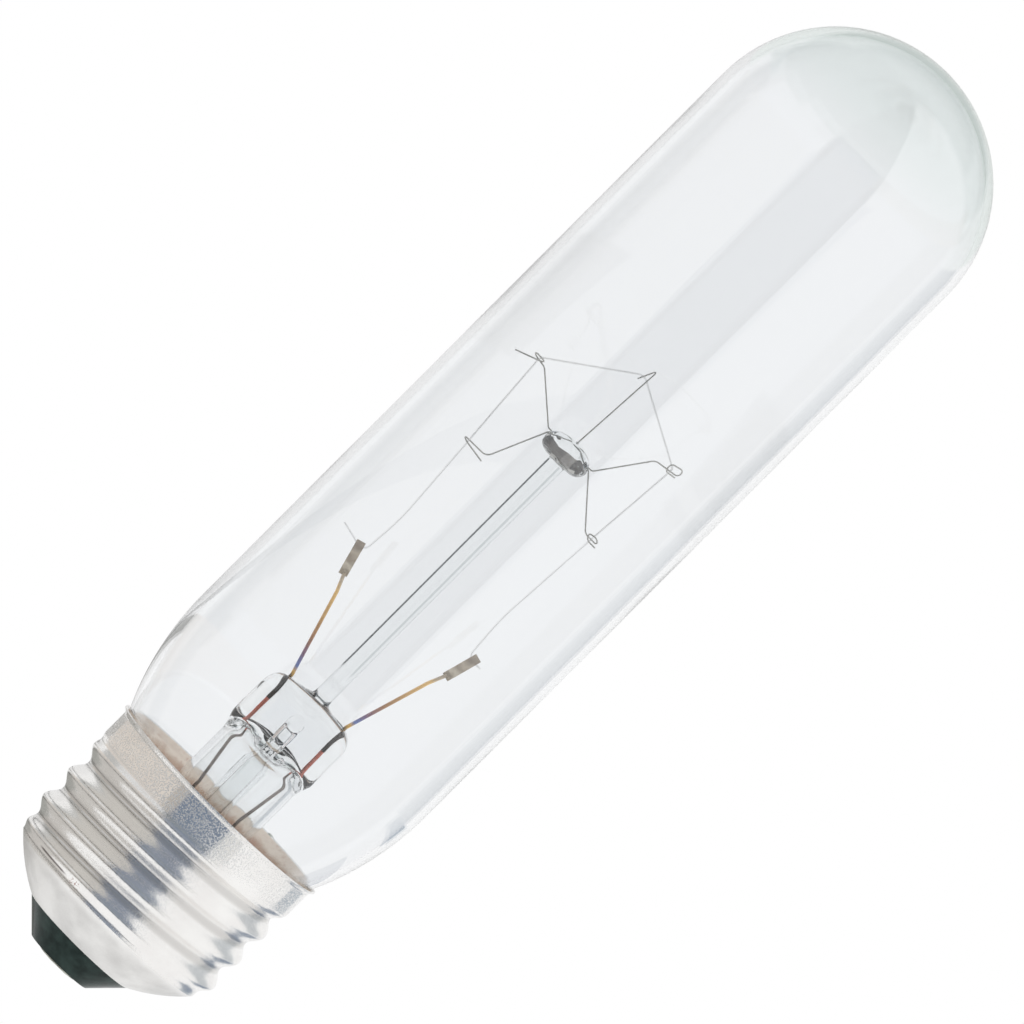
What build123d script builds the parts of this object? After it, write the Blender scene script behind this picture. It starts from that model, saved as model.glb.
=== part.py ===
from build123d import *
import math
import os

# Clear tubular filament lamp on a medium screw base.
# Millimetres. +Z runs along the lamp's axis from the centre contact (Z = 0) to the dome.
# The glass press lies in the XZ plane, so the two leads stand at -X and +X.

# Envelope
bulb_diameter = 31.75
overall_length = 127.0
glass_wall = 0.8
shoulder_top = 36.9
neck_cone_bottom = 18.4
neck_clearance = 0.16
neck_gap = 1.15
seal_height = 13.4

# Screw shell, drawn from thin sheet
base_height = 23.5
skirt_diameter = 26.0
skirt_height = 3.3
lip_height = 0.8
lip_flare = 0.4
sheet = 0.3
thread_pitch = 3.629
thread_depth = 0.95
thread_bottom = 7.4
thread_fade = 1.9
thread_crest_height = 13.1
sections_per_turn = 12
bowl_bottom = 3.3
bowl_opening_diameter = 13.6
bowl_curve_radius = 19.2

# Insulator and centre contact
insulator_bottom = 0.3
insulator_bottom_diameter = 7.7
insulator_edge_radius = 0.4
insulator_cup_margin = 1.3
insulator_hub_diameter = 5.0
insulator_hub_height = 4.9
contact_diameter = 6.6
contact_thickness = 0.3
contact_drop = 0.05
eyelet_diameter = 2.4
eyelet_bore = 1.8
eyelet_flange_diameter = 3.8
eyelet_flange_thickness = 0.25
solder_flat_diameter = 4.0
solder_margin = 0.2
solder_edge_radius = 4.0
solder_plug_top = 1.6

# Cement between the neck and the skirt
cement_height = 2.7
cement_drop = 0.3

# Stem: trumpet tube, flattened press and exhaust tube
stem_diameter = 10.0
stem_wall = 0.8
press_spread = 1.0
press_thickness = 4.5
press_corner_radius = 2.0
press_taper_bottom = 28.0
press_bottom = 32.4
press_top = 36.9
press_edge_radius = 0.9
press_collar_diameter = 3.8
press_collar_top = 37.9
hollow_top = 31.1
hollow_slit = 1.3
exhaust_diameter = 3.0
exhaust_bore = 1.8
exhaust_top = 33.0
exhaust_hole_height = 34.4
exhaust_taper_bottom = 12.0
exhaust_tip = 9.2
exhaust_tip_wall = 1.2
exhaust_tip_radius = 0.6

# Arbor and button
arbor_diameter = 2.0
arbor_bottom = 35.8
button_diameter = 5.65
button_thickness = 2.9
button_height = 73.0

# Leads
lead_margin = 0.4
inner_lead_diameter = 0.38
seal_wire_diameter = 0.34
outer_lead_diameter = 0.35
seal_bottom = 30.0
seal_top = 34.2
lead_rise = 0.6
lead_bend_radius = 1.2
knee_offset = 0.8
knee_drop = 1.6
clamp_inset = 0.2
clamp_drop = 3.1
clamp_length = 3.9
clamp_width = 0.95
clamp_leaf = 0.26
clamp_lean = 15.0
clamp_slit = 0.06
clamp_fold = 0.6
clamp_step = 0.7
clamp_overlap = 0.3
outer_lead_drop = 0.6
outer_lead_slant = 6.5
outer_lead_bend = 0.6
lead_clearance = 0.05
eyelet_entry = 2.1
lead_end_height = 0.6

# Filament, as the outside of its coil
filament_diameter = 0.2
filament_bend_radius = 0.8
filament_bow = 0.5
filament_bow_height = 56.5
filament_bow_radius = 30.0
foot_spacing = 15.0
foot_height = 51.3
tail_left = (-10.9, 0, 52.1)
tail_right = (9.2, 0, 51.3)

# Support wires: angle around the axis, hook height, length of the hook's arm, how far its loop
# reaches past the filament, length of its tail and how far the tail droops
support_diameter = 0.2
support_ring_radius = 9.2
support_root_radius = 1.3
spoke_reach = 0.45
spoke_rise = 0.3
spoke_bend_radius = 0.5
arm_bend_radius = 1.0
hook_radius = 0.48
hook_corner_radius = 0.43
hook_pitch = 0.34
hook_lean = 0.55
supports = (
    (212.0, 67.2, 3.0, 0.48, -2.4, 0.5),
    (162.0, 77.6, 0.9, 0.7, 1.7, 2.0),
    (90.0, 83.4, 1.4, 0.6, 0.9, 0.0),
    (18.0, 79.1, 1.9, 1.2, 0.4, 0.0),
    (328.0, 68.9, 1.2, 0.7, 0.3, 0.0),
)

# Side lead and its solder, where it comes over the rim
side_angle = 61.3
side_turn_inset = 3.6
side_turn_drop = 1.3
side_lead_reach = 0.4
side_notch_width = 0.5
side_notch_span = 1.6
side_notch_depth = 1.9
side_solder_radius = 0.75
side_solder_offset = 0.35
side_solder_drop = 0.3

# Values that follow from the sizes above
bulb_radius = bulb_diameter / 2
dome_centre = overall_length - bulb_radius
skirt_radius = skirt_diameter / 2
skirt_bottom = base_height - skirt_height
lip_bottom = base_height - lip_height
lip_radius = skirt_radius + lip_flare
root_radius = skirt_radius - thread_depth
bore_radius = root_radius - sheet
rim_glass_radius = lip_radius - sheet - neck_clearance
neck_radius = bore_radius - neck_gap
thread_height = skirt_bottom - thread_bottom
section_count = round(thread_height / thread_pitch * sections_per_turn)
bowl_opening_radius = bowl_opening_diameter / 2
stem_radius = stem_diameter / 2
stem_bore_radius = stem_radius - stem_wall
press_width = stem_diameter + press_spread
lead_x = stem_bore_radius - lead_margin
exhaust_radius = exhaust_diameter / 2
button_radius = button_diameter / 2
spoke_height = button_height + spoke_rise
outer_lead_x = (exhaust_radius + stem_bore_radius) / 2

# The neck curve is an arc, upright where it meets the tube, that reaches the rim radius at the rim
shoulder_rise = shoulder_top - base_height
shoulder_drop = bulb_radius - rim_glass_radius
shoulder_radius = (shoulder_rise**2 + shoulder_drop**2) / (2 * shoulder_drop)
shoulder_turn = math.asin(shoulder_rise / shoulder_radius)
neck_slope = (rim_glass_radius - neck_radius) / (base_height - neck_cone_bottom)

# The shell's bottom is an arc from the opening to the foot of the thread
bowl_chord = Vector(root_radius - bowl_opening_radius, thread_bottom - bowl_bottom)
bowl_rise = math.sqrt(bowl_curve_radius**2 - (bowl_chord.length / 2) ** 2)
bowl_centre = (
    Vector((root_radius + bowl_opening_radius) / 2, (thread_bottom + bowl_bottom) / 2)
    + Vector(-bowl_chord.Y, bowl_chord.X).normalized() * bowl_rise
)


def neck_cone_radius(height):
    """Outer radius of the neck's cone below the rim."""
    return rim_glass_radius - (base_height - height) * neck_slope


def bowl_height(radius, inset):
    """Height of the shell's bottom curve, or of its inside, at a radius."""
    return bowl_centre.Y - math.sqrt((bowl_curve_radius - inset) ** 2 - (radius - bowl_centre.X) ** 2)


def bowl_arc(start_radius, end_radius, inset):
    """Part of the shell's bottom curve between two radii."""
    radii = (start_radius, (start_radius + end_radius) / 2, end_radius)
    return ThreePointArc(*[(radius, bowl_height(radius, inset)) for radius in radii])


bowl_inside_bottom = bowl_height(bowl_opening_radius, sheet)
bowl_inside_top = bowl_height(bore_radius, sheet)


def glass_outline(inset):
    """Half section of the envelope as a filled body, with each radius smaller by inset."""
    tube = bulb_radius - inset
    middle = shoulder_turn / 2
    middle_radius = tube - shoulder_radius * (1 - math.cos(middle))
    with BuildLine() as outline:
        Polyline(
            (0, seal_height),
            (neck_radius - inset, seal_height),
            (neck_radius - inset, neck_cone_bottom),
            (rim_glass_radius - inset, base_height),
        )
        ThreePointArc(
            (rim_glass_radius - inset, base_height),
            (middle_radius, shoulder_top - shoulder_radius * math.sin(middle)),
            (tube, shoulder_top),
        )
        Line((tube, shoulder_top), (tube, dome_centre))
        CenterArc((0, dome_centre), tube, 0, 90)
        Line((0, dome_centre + tube), (0, seal_height))
    make_face(outline.edges())


def draw_wire(points, bend_radii, diameter):
    """Round wire along straight runs joined by tangent bends."""
    with BuildLine() as route:
        FilletPolyline(*points, radius=bend_radii)
    with BuildSketch(Plane(route.line @ 0, z_dir=route.line % 0)) as section:
        Circle(diameter / 2)
    sweep(sections=section.sketch, path=route.line)


def ease(share):
    """Smooth step from 0 to 1."""
    share = min(max(share, 0), 1)
    return share * share * (3 - 2 * share)


def polar(radius, angle, height):
    """Point at a radius and an angle in degrees around the axis."""
    turn = math.radians(angle)
    return Vector(radius * math.cos(turn), radius * math.sin(turn), height)


def bow_point(foot, hook):
    """Point of the filament's lowest run where it bows in towards the axis."""
    share = (filament_bow_height - foot.Z) / (hook.Z - foot.Z)
    straight = foot + (hook - foot) * share
    return straight - Vector(math.copysign(filament_bow, foot.X), 0, 0)


def thread_sections(inset):
    """Circles of the rolled thread from its foot to the skirt, with each radius smaller by inset."""
    circles = []
    for index in range(section_count + 1):
        level = thread_bottom + thread_height * index / section_count
        rise = ease((level - thread_bottom) / thread_fade)
        offset_radius = thread_depth / 2 * rise * ease((skirt_bottom - level) / thread_fade)
        turn = 360 * (level - thread_crest_height) / thread_pitch
        shift = polar(offset_radius, turn, 0)
        with BuildSketch(Plane.XY.offset(level)) as section:
            with Locations((shift.X, shift.Y)):
                Circle(root_radius + thread_depth * rise - offset_radius - inset)
        circles.append(section.sketch)
    return circles


def support_route(before, corner, after, angle, arm, reach, tail, droop):
    """Points of a support wire: a spoke out of the button's rim, an arm and a hook round the filament's bend.
    A positive tail ends a closed loop outwards, and a negative one turns an open hook back inwards."""
    towards = (corner - before).normalized()
    away = (after - corner).normalized()
    half_turn = math.radians(towards.get_angle(away)) / 2
    inside = (away - towards).normalized()
    centre = corner + inside * filament_bend_radius * (1 / math.cos(half_turn) - 1)
    along = (towards + away).normalized()
    radial = polar(1, angle, 0)
    outward = (radial - along * radial.dot(along)).normalized()
    level = along.cross(outward)
    across = (level + along * math.copysign(hook_lean, level.Y)).normalized()

    def hook_point(out, side, rise):
        """Point outwards from, beside and along the filament."""
        return centre + outward * out + across * side + along * rise

    points = [
        polar(support_root_radius, angle, spoke_height),
        polar(button_radius + spoke_reach, angle, spoke_height),
        hook_point(-arm, -hook_radius, -hook_pitch / 2),
        hook_point(reach, -hook_radius, -hook_pitch / 2),
        hook_point(reach, hook_radius, -hook_pitch / 4),
    ]
    if tail < 0:
        return [*points, hook_point(tail, hook_radius, -droop)]
    return [
        *points,
        hook_point(-hook_radius, hook_radius, hook_pitch / 4),
        hook_point(-hook_radius, -hook_radius, hook_pitch / 2),
        hook_point(hook_radius + tail, -hook_radius, hook_pitch / 2 - droop),
    ]


os.makedirs("parts", exist_ok=True)

# Filament: from the left tail through the left clamp, over the five hooks and down to the right
foot_x = foot_spacing / 2
hook_corners = [polar(support_ring_radius, angle, height) for angle, height, *hook in supports]
foot_left = Vector(-foot_x, 0, foot_height)
foot_right = Vector(foot_x, 0, foot_height)
filament_points = [
    Vector(*tail_left),
    foot_left,
    bow_point(foot_left, hook_corners[0]),
    *hook_corners,
    bow_point(foot_right, hook_corners[-1]),
    foot_right,
    Vector(*tail_right),
]
filament_bends = [filament_bend_radius] * (len(filament_points) - 2)
filament_bends[1] = filament_bow_radius
filament_bends[-2] = filament_bow_radius
with BuildPart() as filament:
    draw_wire(filament_points, filament_bends, filament_diameter)
filament.part.label = "filament"
export_step(filament.part, "parts/filament.step")

# Support wires: from the button to a bend, then an arm that ends in a hook round the filament
support_parts = []
for index, (angle, height, *hook) in enumerate(supports):
    before, corner, after = filament_points[index + 2 : index + 5]
    points = support_route(before, corner, after, angle, *hook)
    radii = [spoke_bend_radius, arm_bend_radius] + [hook_corner_radius] * (len(points) - 4)
    with BuildPart() as support_wire:
        draw_wire(points, radii, support_diameter)
    name = f"support_wire_{index + 1}"
    support_wire.part.label = name
    export_step(support_wire.part, f"parts/{name}.step")
    support_parts.append(support_wire.part)

# Arbor: glass rod from the press, with a button that holds the roots of the support wires
arbor_radius = arbor_diameter / 2
with BuildPart() as arbor_rod:
    with BuildSketch(Plane.XZ):
        with Locations((0, button_height)):
            Ellipse(button_radius, button_thickness / 2)
        with Locations((-button_radius / 2, button_height)):
            Rectangle(button_radius, button_thickness, mode=Mode.SUBTRACT)
        with Locations((arbor_radius / 2, (arbor_bottom + button_height) / 2)):
            Rectangle(arbor_radius, button_height - arbor_bottom)
    revolve(axis=Axis.Z)
    for support_part in support_parts:
        add(support_part, mode=Mode.SUBTRACT)
arbor_rod.part.label = "arbor_rod"
export_step(arbor_rod.part, "parts/arbor_rod.step")

# Inner leads: out of the press, leaning outwards, with the flattened end folded over the filament
clamp_x = foot_x - clamp_inset
clamp_bottom = foot_height - clamp_drop
clamp_turn = math.radians(clamp_lean)
clamp_thickness = 2 * clamp_leaf + filament_diameter
inner_leads = []
for side, name in ((-1, "left"), (1, "right")):
    lead_route = [
        (side * lead_x, 0, seal_top),
        (side * lead_x, 0, press_top + lead_rise),
        (side * (clamp_x - knee_offset), 0, clamp_bottom - knee_drop),
        (side * clamp_x, 0, clamp_bottom + clamp_overlap),
    ]
    clamp_plane = Plane(
        origin=(side * clamp_x, 0, clamp_bottom),
        x_dir=(0, 1, 0),
        z_dir=(math.cos(clamp_turn), 0, -side * math.sin(clamp_turn)),
    )
    with BuildPart() as inner_lead:
        with BuildSketch(clamp_plane):
            with Locations((0, clamp_length / 2)):
                RectangleRounded(clamp_thickness, clamp_length, clamp_leaf)
            with Locations((0, (clamp_length - clamp_fold) / 2)):
                Rectangle(clamp_slit, clamp_length - clamp_fold, mode=Mode.SUBTRACT)
            with Locations((-clamp_thickness / 2, 0)):
                Rectangle(clamp_thickness, 2 * clamp_step, mode=Mode.SUBTRACT)
        extrude(amount=clamp_width / 2, both=True)
        draw_wire(lead_route, lead_bend_radius, inner_lead_diameter)
        add(filament.part, mode=Mode.SUBTRACT)
    inner_lead.part.label = f"inner_lead_{name}"
    export_step(inner_lead.part, f"parts/inner_lead_{name}.step")
    inner_leads.append(inner_lead.part)

# Seal wires: short thick pieces that the press grips air-tight
seal_wires = []
for side, name in ((-1, "left"), (1, "right")):
    with BuildPart() as seal_wire:
        with BuildSketch(Plane.XY.offset(seal_bottom)):
            with Locations((side * lead_x, 0)):
                Circle(seal_wire_diameter / 2)
        extrude(amount=seal_top - seal_bottom)
    seal_wire.part.label = f"seal_wire_{name}"
    export_step(seal_wire.part, f"parts/seal_wire_{name}.step")
    seal_wires.append(seal_wire.part)

# Outer leads: the left one runs down to the centre contact
with BuildPart() as outer_lead_left:
    left_route = [
        (-lead_x, 0, seal_bottom),
        (-lead_x, 0, seal_bottom - outer_lead_drop),
        (-outer_lead_x, 0, seal_bottom - outer_lead_slant),
        (-outer_lead_x, 0, exhaust_taper_bottom),
        (0, 0, insulator_hub_height + eyelet_entry),
        (0, 0, lead_end_height),
    ]
    draw_wire(left_route, outer_lead_bend, outer_lead_diameter)
outer_lead_left.part.label = "outer_lead_left"
export_step(outer_lead_left.part, "parts/outer_lead_left.step")

# The right one turns under the seal, climbs outside the neck and comes out through the rim's notch
lead_gap = outer_lead_diameter / 2 + lead_clearance
rim_turn_height = base_height - side_notch_depth + lead_gap
rim_turn_radius = neck_cone_radius(rim_turn_height) + lead_gap * math.hypot(1, neck_slope)
with BuildPart() as outer_lead_right:
    right_route = [
        (lead_x, 0, seal_bottom),
        (lead_x, 0, seal_bottom - outer_lead_drop),
        (outer_lead_x, 0, seal_bottom - outer_lead_slant),
        polar(outer_lead_x, side_angle / 4, seal_height),
        polar(neck_radius - side_turn_inset, side_angle, seal_height - stem_wall - side_turn_drop),
        polar(neck_radius + neck_gap / 2, side_angle, seal_height - stem_wall - side_turn_drop),
        polar(neck_radius + neck_gap / 2, side_angle, neck_cone_bottom),
        polar(rim_turn_radius, side_angle, rim_turn_height),
        polar(skirt_radius + side_lead_reach, side_angle, base_height - side_solder_drop),
    ]
    draw_wire(right_route, outer_lead_bend, outer_lead_diameter)
outer_lead_right.part.label = "outer_lead_right"
export_step(outer_lead_right.part, "parts/outer_lead_right.step")

# Exhaust tube: open at the press, drawn to a closed tip inside the base
exhaust_bore_radius = exhaust_bore / 2
bore_tip = exhaust_tip + exhaust_tip_wall
tip_centre = exhaust_tip + exhaust_tip_radius
with BuildPart() as exhaust_tube:
    with BuildSketch(Plane.XZ):
        with BuildLine():
            Polyline(
                (exhaust_bore_radius, exhaust_taper_bottom),
                (exhaust_bore_radius, exhaust_top),
                (exhaust_radius, exhaust_top),
                (exhaust_radius, exhaust_taper_bottom),
            )
            Line((exhaust_radius, exhaust_taper_bottom), (exhaust_tip_radius, tip_centre))
            CenterArc((0, tip_centre), exhaust_tip_radius, -90, 90)
            Line((0, exhaust_tip), (0, bore_tip))
            Line((0, bore_tip), (exhaust_bore_radius, exhaust_taper_bottom))
        make_face()
    revolve(axis=Axis.Z)
exhaust_tube.part.label = "exhaust_tube"
export_step(exhaust_tube.part, "parts/exhaust_tube.step")

# Stem: trumpet, tube and press in one piece of glass
rim_bore_radius = neck_radius - glass_wall
trumpet_top = seal_height + rim_bore_radius - stem_radius
trumpet_radius = rim_bore_radius - stem_radius
with BuildPart() as stem_flare:
    with BuildSketch(Plane.XZ):
        with BuildLine():
            CenterArc((rim_bore_radius, trumpet_top), trumpet_radius, 180, 90)
            CenterArc((rim_bore_radius, trumpet_top), trumpet_radius + stem_wall, 180, 90)
            Polyline(
                (stem_radius, trumpet_top),
                (stem_radius, press_taper_bottom),
                (stem_bore_radius, press_taper_bottom),
                (stem_bore_radius, trumpet_top),
            )
            Polyline(
                (rim_bore_radius, seal_height),
                (neck_radius, seal_height),
                (neck_radius, seal_height - stem_wall),
                (rim_bore_radius, seal_height - stem_wall),
            )
        make_face()
    revolve(axis=Axis.Z)
    with BuildSketch(Plane.XY.offset(press_taper_bottom)):
        Circle(stem_radius)
    with BuildSketch(Plane.XY.offset(press_bottom)):
        RectangleRounded(press_width, press_thickness, press_corner_radius)
    loft()
    with BuildSketch(Plane.XY.offset(press_bottom)):
        RectangleRounded(press_width, press_thickness, press_corner_radius)
    extrude(amount=press_top - press_bottom)
    fillet(stem_flare.faces().sort_by(Axis.Z)[-1].edges(), radius=press_edge_radius)
    with BuildSketch(Plane.XZ):
        with BuildLine():
            Polyline(
                (0, press_top),
                (press_collar_diameter / 2, press_top),
                (arbor_radius, press_collar_top),
                (0, press_collar_top),
                (0, press_top),
            )
        make_face()
    revolve(axis=Axis.Z)
    with BuildSketch(Plane.XY.offset(press_taper_bottom)):
        Circle(stem_bore_radius)
    with BuildSketch(Plane.XY.offset(hollow_top)):
        Ellipse(stem_bore_radius, hollow_slit / 2)
    loft(mode=Mode.SUBTRACT)
    with BuildSketch(Plane.XY.offset(press_taper_bottom)):
        Circle(exhaust_radius)
    extrude(amount=exhaust_top - press_taper_bottom, mode=Mode.SUBTRACT)
    with BuildSketch(Plane.XY.offset(exhaust_top)):
        Circle(exhaust_bore_radius)
    extrude(amount=exhaust_hole_height - exhaust_top, mode=Mode.SUBTRACT)
    with BuildSketch(Plane.XZ):
        with Locations((0, exhaust_hole_height)):
            Circle(exhaust_bore_radius)
    extrude(amount=press_thickness, mode=Mode.SUBTRACT)
    for held in (arbor_rod.part, *seal_wires, *inner_leads):
        add(held, mode=Mode.SUBTRACT)
stem_flare.part.label = "stem_flare"
export_step(stem_flare.part, "parts/stem_flare.step")

# Envelope: blown tube with a round dome and a drawn-in neck
with BuildPart() as glass_envelope:
    with BuildSketch(Plane.XZ):
        glass_outline(0)
    revolve(axis=Axis.Z)
    with BuildSketch(Plane.XZ):
        glass_outline(glass_wall)
    revolve(axis=Axis.Z, mode=Mode.SUBTRACT)
glass_envelope.part.label = "glass_envelope"
export_step(glass_envelope.part, "parts/glass_envelope.step")

# Screw shell: rolled thread between a round bottom and a plain skirt with a flared lip.
# Each level of the thread is a circle set off-centre by half the depth, turning once per pitch.
with BuildPart() as screw_shell:
    loft(sections=thread_sections(0))
    with BuildSketch(Plane.XZ):
        with BuildLine():
            Polyline((root_radius, thread_bottom), (0, thread_bottom), (0, bowl_bottom))
            Line((0, bowl_bottom), (bowl_opening_radius, bowl_bottom))
            bowl_arc(bowl_opening_radius, root_radius, 0)
        make_face()
        with BuildLine():
            Polyline(
                (0, skirt_bottom),
                (skirt_radius, skirt_bottom),
                (skirt_radius, lip_bottom),
                (lip_radius, base_height),
                (0, base_height),
                (0, skirt_bottom),
            )
        make_face()
    revolve(axis=Axis.Z)
    loft(sections=thread_sections(sheet), mode=Mode.SUBTRACT)
    with BuildSketch(Plane.XZ):
        with BuildLine():
            Line((0, bowl_bottom), (bowl_opening_radius, bowl_bottom))
            Line((bowl_opening_radius, bowl_bottom), (bowl_opening_radius, bowl_inside_bottom))
            bowl_arc(bowl_opening_radius, bore_radius, sheet)
            Polyline((bore_radius, bowl_inside_top), (0, bowl_inside_top), (0, bowl_bottom))
        make_face()
        with BuildLine():
            Polyline(
                (0, skirt_bottom),
                (skirt_radius - sheet, skirt_bottom),
                (skirt_radius - sheet, lip_bottom),
                (lip_radius - sheet, base_height),
                (0, base_height),
                (0, skirt_bottom),
            )
        make_face()
    revolve(axis=Axis.Z, mode=Mode.SUBTRACT)
    with BuildSketch(Plane.XY.offset(base_height)):
        with PolarLocations(skirt_radius, 1, start_angle=side_angle):
            Rectangle(side_notch_span, side_notch_width)
    extrude(amount=-side_notch_depth, mode=Mode.SUBTRACT)
screw_shell.part.label = "screw_shell"
export_step(screw_shell.part, "parts/screw_shell.step")

# Insulator: black glass, cone outside, cup inside the shell's bottom
contact_radius = contact_diameter / 2
contact_bottom = insulator_bottom - contact_drop
contact_top = contact_bottom + contact_thickness
eyelet_radius = eyelet_diameter / 2
cup_radius = bore_radius - insulator_cup_margin
with BuildPart() as base_insulator:
    with BuildSketch(Plane.XZ):
        with BuildLine():
            FilletPolyline(
                (contact_radius, insulator_bottom),
                (insulator_bottom_diameter / 2, insulator_bottom),
                (bowl_opening_radius, bowl_bottom),
                radius=insulator_edge_radius,
            )
            Line((bowl_opening_radius, bowl_bottom), (bowl_opening_radius, bowl_inside_bottom))
            bowl_arc(bowl_opening_radius, cup_radius, sheet)
            Polyline(
                (cup_radius, bowl_height(cup_radius, sheet)),
                (insulator_hub_diameter / 2, insulator_hub_height),
                (eyelet_radius, insulator_hub_height),
                (eyelet_radius, contact_top),
                (contact_radius, contact_top),
                (contact_radius, insulator_bottom),
            )
        make_face()
    revolve(axis=Axis.Z)
base_insulator.part.label = "base_insulator"
export_step(base_insulator.part, "parts/base_insulator.step")

# Centre contact: brass eyelet whose disc lies in the insulator's recess
eyelet_bore_radius = eyelet_bore / 2
eyelet_top = insulator_hub_height + eyelet_flange_thickness
with BuildPart() as centre_contact:
    with BuildSketch(Plane.XZ):
        with BuildLine():
            Polyline(
                (eyelet_bore_radius, contact_bottom),
                (contact_radius, contact_bottom),
                (contact_radius, contact_top),
                (eyelet_radius, contact_top),
                (eyelet_radius, insulator_hub_height),
                (eyelet_flange_diameter / 2, insulator_hub_height),
                (eyelet_flange_diameter / 2, eyelet_top),
                (eyelet_bore_radius, eyelet_top),
                (eyelet_bore_radius, contact_bottom),
            )
        make_face()
    revolve(axis=Axis.Z)
centre_contact.part.label = "centre_contact"
export_step(centre_contact.part, "parts/centre_contact.step")

# Contact solder: low mound with a worn flat, and the plug that holds the lead in the eyelet
solder_radius = contact_radius - solder_margin
with BuildPart() as contact_solder:
    with BuildSketch(Plane.XZ):
        with BuildLine():
            Line((0, 0), (solder_flat_diameter / 2, 0))
            RadiusArc((solder_flat_diameter / 2, 0), (solder_radius, contact_bottom), -solder_edge_radius)
            Polyline(
                (solder_radius, contact_bottom),
                (eyelet_bore_radius, contact_bottom),
                (eyelet_bore_radius, solder_plug_top),
                (0, solder_plug_top),
                (0, 0),
            )
        make_face()
    revolve(axis=Axis.Z)
    add(outer_lead_left.part, mode=Mode.SUBTRACT)
contact_solder.part.label = "contact_solder"
export_step(contact_solder.part, "parts/contact_solder.step")

# Side solder: bead on the rim that fills the notch round the lead's end
with BuildPart() as side_solder:
    with Locations(polar(lip_radius + side_solder_offset, side_angle, base_height - side_solder_drop)):
        Sphere(side_solder_radius)
    add(screw_shell.part, mode=Mode.SUBTRACT)
    add(outer_lead_right.part, mode=Mode.SUBTRACT)
side_solder.part.label = "side_solder"
export_step(side_solder.part, "parts/side_solder.step")

# Cement: wedge ring that fills the gap between the neck and the skirt, with a groove for the lead
cement_top = base_height - cement_drop
cement_bottom = cement_top - cement_height
cement_outer_radius = skirt_radius - sheet
cement_lip_radius = cement_outer_radius + lip_flare * (cement_top - lip_bottom) / lip_height
with BuildPart() as basing_cement:
    with BuildSketch(Plane.XZ):
        with BuildLine():
            Polyline(
                (neck_cone_radius(cement_bottom), cement_bottom),
                (cement_outer_radius, cement_bottom),
                (cement_outer_radius, lip_bottom),
                (cement_lip_radius, cement_top),
                (neck_cone_radius(cement_top), cement_top),
                (neck_cone_radius(cement_bottom), cement_bottom),
            )
        make_face()
    revolve(axis=Axis.Z)
    add(outer_lead_right.part, mode=Mode.SUBTRACT)
basing_cement.part.label = "basing_cement"
export_step(basing_cement.part, "parts/basing_cement.step")
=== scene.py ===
# %% [markdown]
# # A clear tubular filament lamp
#
# This lesson dresses a finished CAD model for a studio picture. The lamp is a blown glass tube on an
# aluminium screw base. Inside it a glass stem carries two leads, five support wires and a coiled filament.
# The CAD model fixes the sizes and places. Blender adds what the eye reads: smooth glass, rolled metal,
# the turns of the coil, and the finish of each surface.
#
# Sizes are in millimetres, as on a drawing. Each mesh is scaled to metres once, when it is placed.

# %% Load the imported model
import math

import bpy
from mathutils import Matrix, Vector, noise


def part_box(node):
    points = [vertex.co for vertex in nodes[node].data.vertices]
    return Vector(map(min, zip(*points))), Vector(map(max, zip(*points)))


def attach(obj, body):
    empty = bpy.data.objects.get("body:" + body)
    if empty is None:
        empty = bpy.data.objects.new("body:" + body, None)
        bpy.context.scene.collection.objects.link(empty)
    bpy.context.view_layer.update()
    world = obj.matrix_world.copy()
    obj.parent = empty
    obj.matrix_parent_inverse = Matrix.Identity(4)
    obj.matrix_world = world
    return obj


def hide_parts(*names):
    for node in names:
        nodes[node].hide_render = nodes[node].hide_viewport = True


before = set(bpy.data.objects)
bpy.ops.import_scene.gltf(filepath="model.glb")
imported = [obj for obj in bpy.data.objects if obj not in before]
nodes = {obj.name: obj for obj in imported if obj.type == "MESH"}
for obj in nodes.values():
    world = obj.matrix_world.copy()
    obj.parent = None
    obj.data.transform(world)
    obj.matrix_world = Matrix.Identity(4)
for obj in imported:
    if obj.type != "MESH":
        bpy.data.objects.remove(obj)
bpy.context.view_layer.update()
scene = bpy.context.scene
MM = 0.001


# %% [markdown]
# ## Helpers
#
# A material and a Geometry Nodes tree are both made of nodes with links between them, so one small
# function serves them all: it adds a node, sets its properties, fills each input with a value or a link, and
# hands back the socket to go on from. Colours are written as they look on a screen, in sRGB, and are turned
# to linear light in one place.

# %% Nodes and colours
def colour(code):
    """Linear colour of an sRGB hex code such as #d8d4cc."""
    parts = [int(code[i : i + 2], 16) / 255 for i in (1, 3, 5)]
    return (*[c / 12.92 if c <= 0.04045 else ((c + 0.055) / 1.055) ** 2.4 for c in parts], 1.0)


def fill(node, inputs):
    """Gives each input of a node a value, or a link from another node's socket."""
    for name, value in inputs.items():
        if isinstance(value, bpy.types.NodeSocket):
            node.id_data.links.new(value, node.inputs[name])
        else:
            node.inputs[name].default_value = value


def add_node(tree, kind, inputs=None, output=0, **settings):
    """Adds a node with its settings and inputs, and returns one of its output sockets."""
    node = tree.nodes.new(kind)
    for name, value in settings.items():
        setattr(node, name, value)
    fill(node, inputs or {})
    return node.outputs[output] if node.outputs else None


def new_material(name, uniform):
    """Material with one Principled shader. Values that are the same all over are set on its own sockets."""
    material = bpy.data.materials.new(name)
    material.use_nodes = True
    shader = material.node_tree.nodes["Principled BSDF"]
    fill(shader, uniform)
    place = add_node(material.node_tree, "ShaderNodeTexCoord", output="Object")
    return material, material.node_tree, shader, place


def set_ramp(ramp, *stops):
    """Puts (place, hex colour) stops on the Color Ramp node of a socket, and returns the socket."""
    elements = ramp.node.color_ramp.elements
    for index, (place, code) in enumerate(stops):
        stop = elements[index] if index < 2 else elements.new(place)
        stop.position = place
        stop.color = colour(code)
    return ramp


def per_mm(size):
    """Scale of a texture in metres whose features are as large as a size in millimetres."""
    return 1 / (size * MM)


# %% Meshes
sharp_from = math.radians(40)


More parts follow.
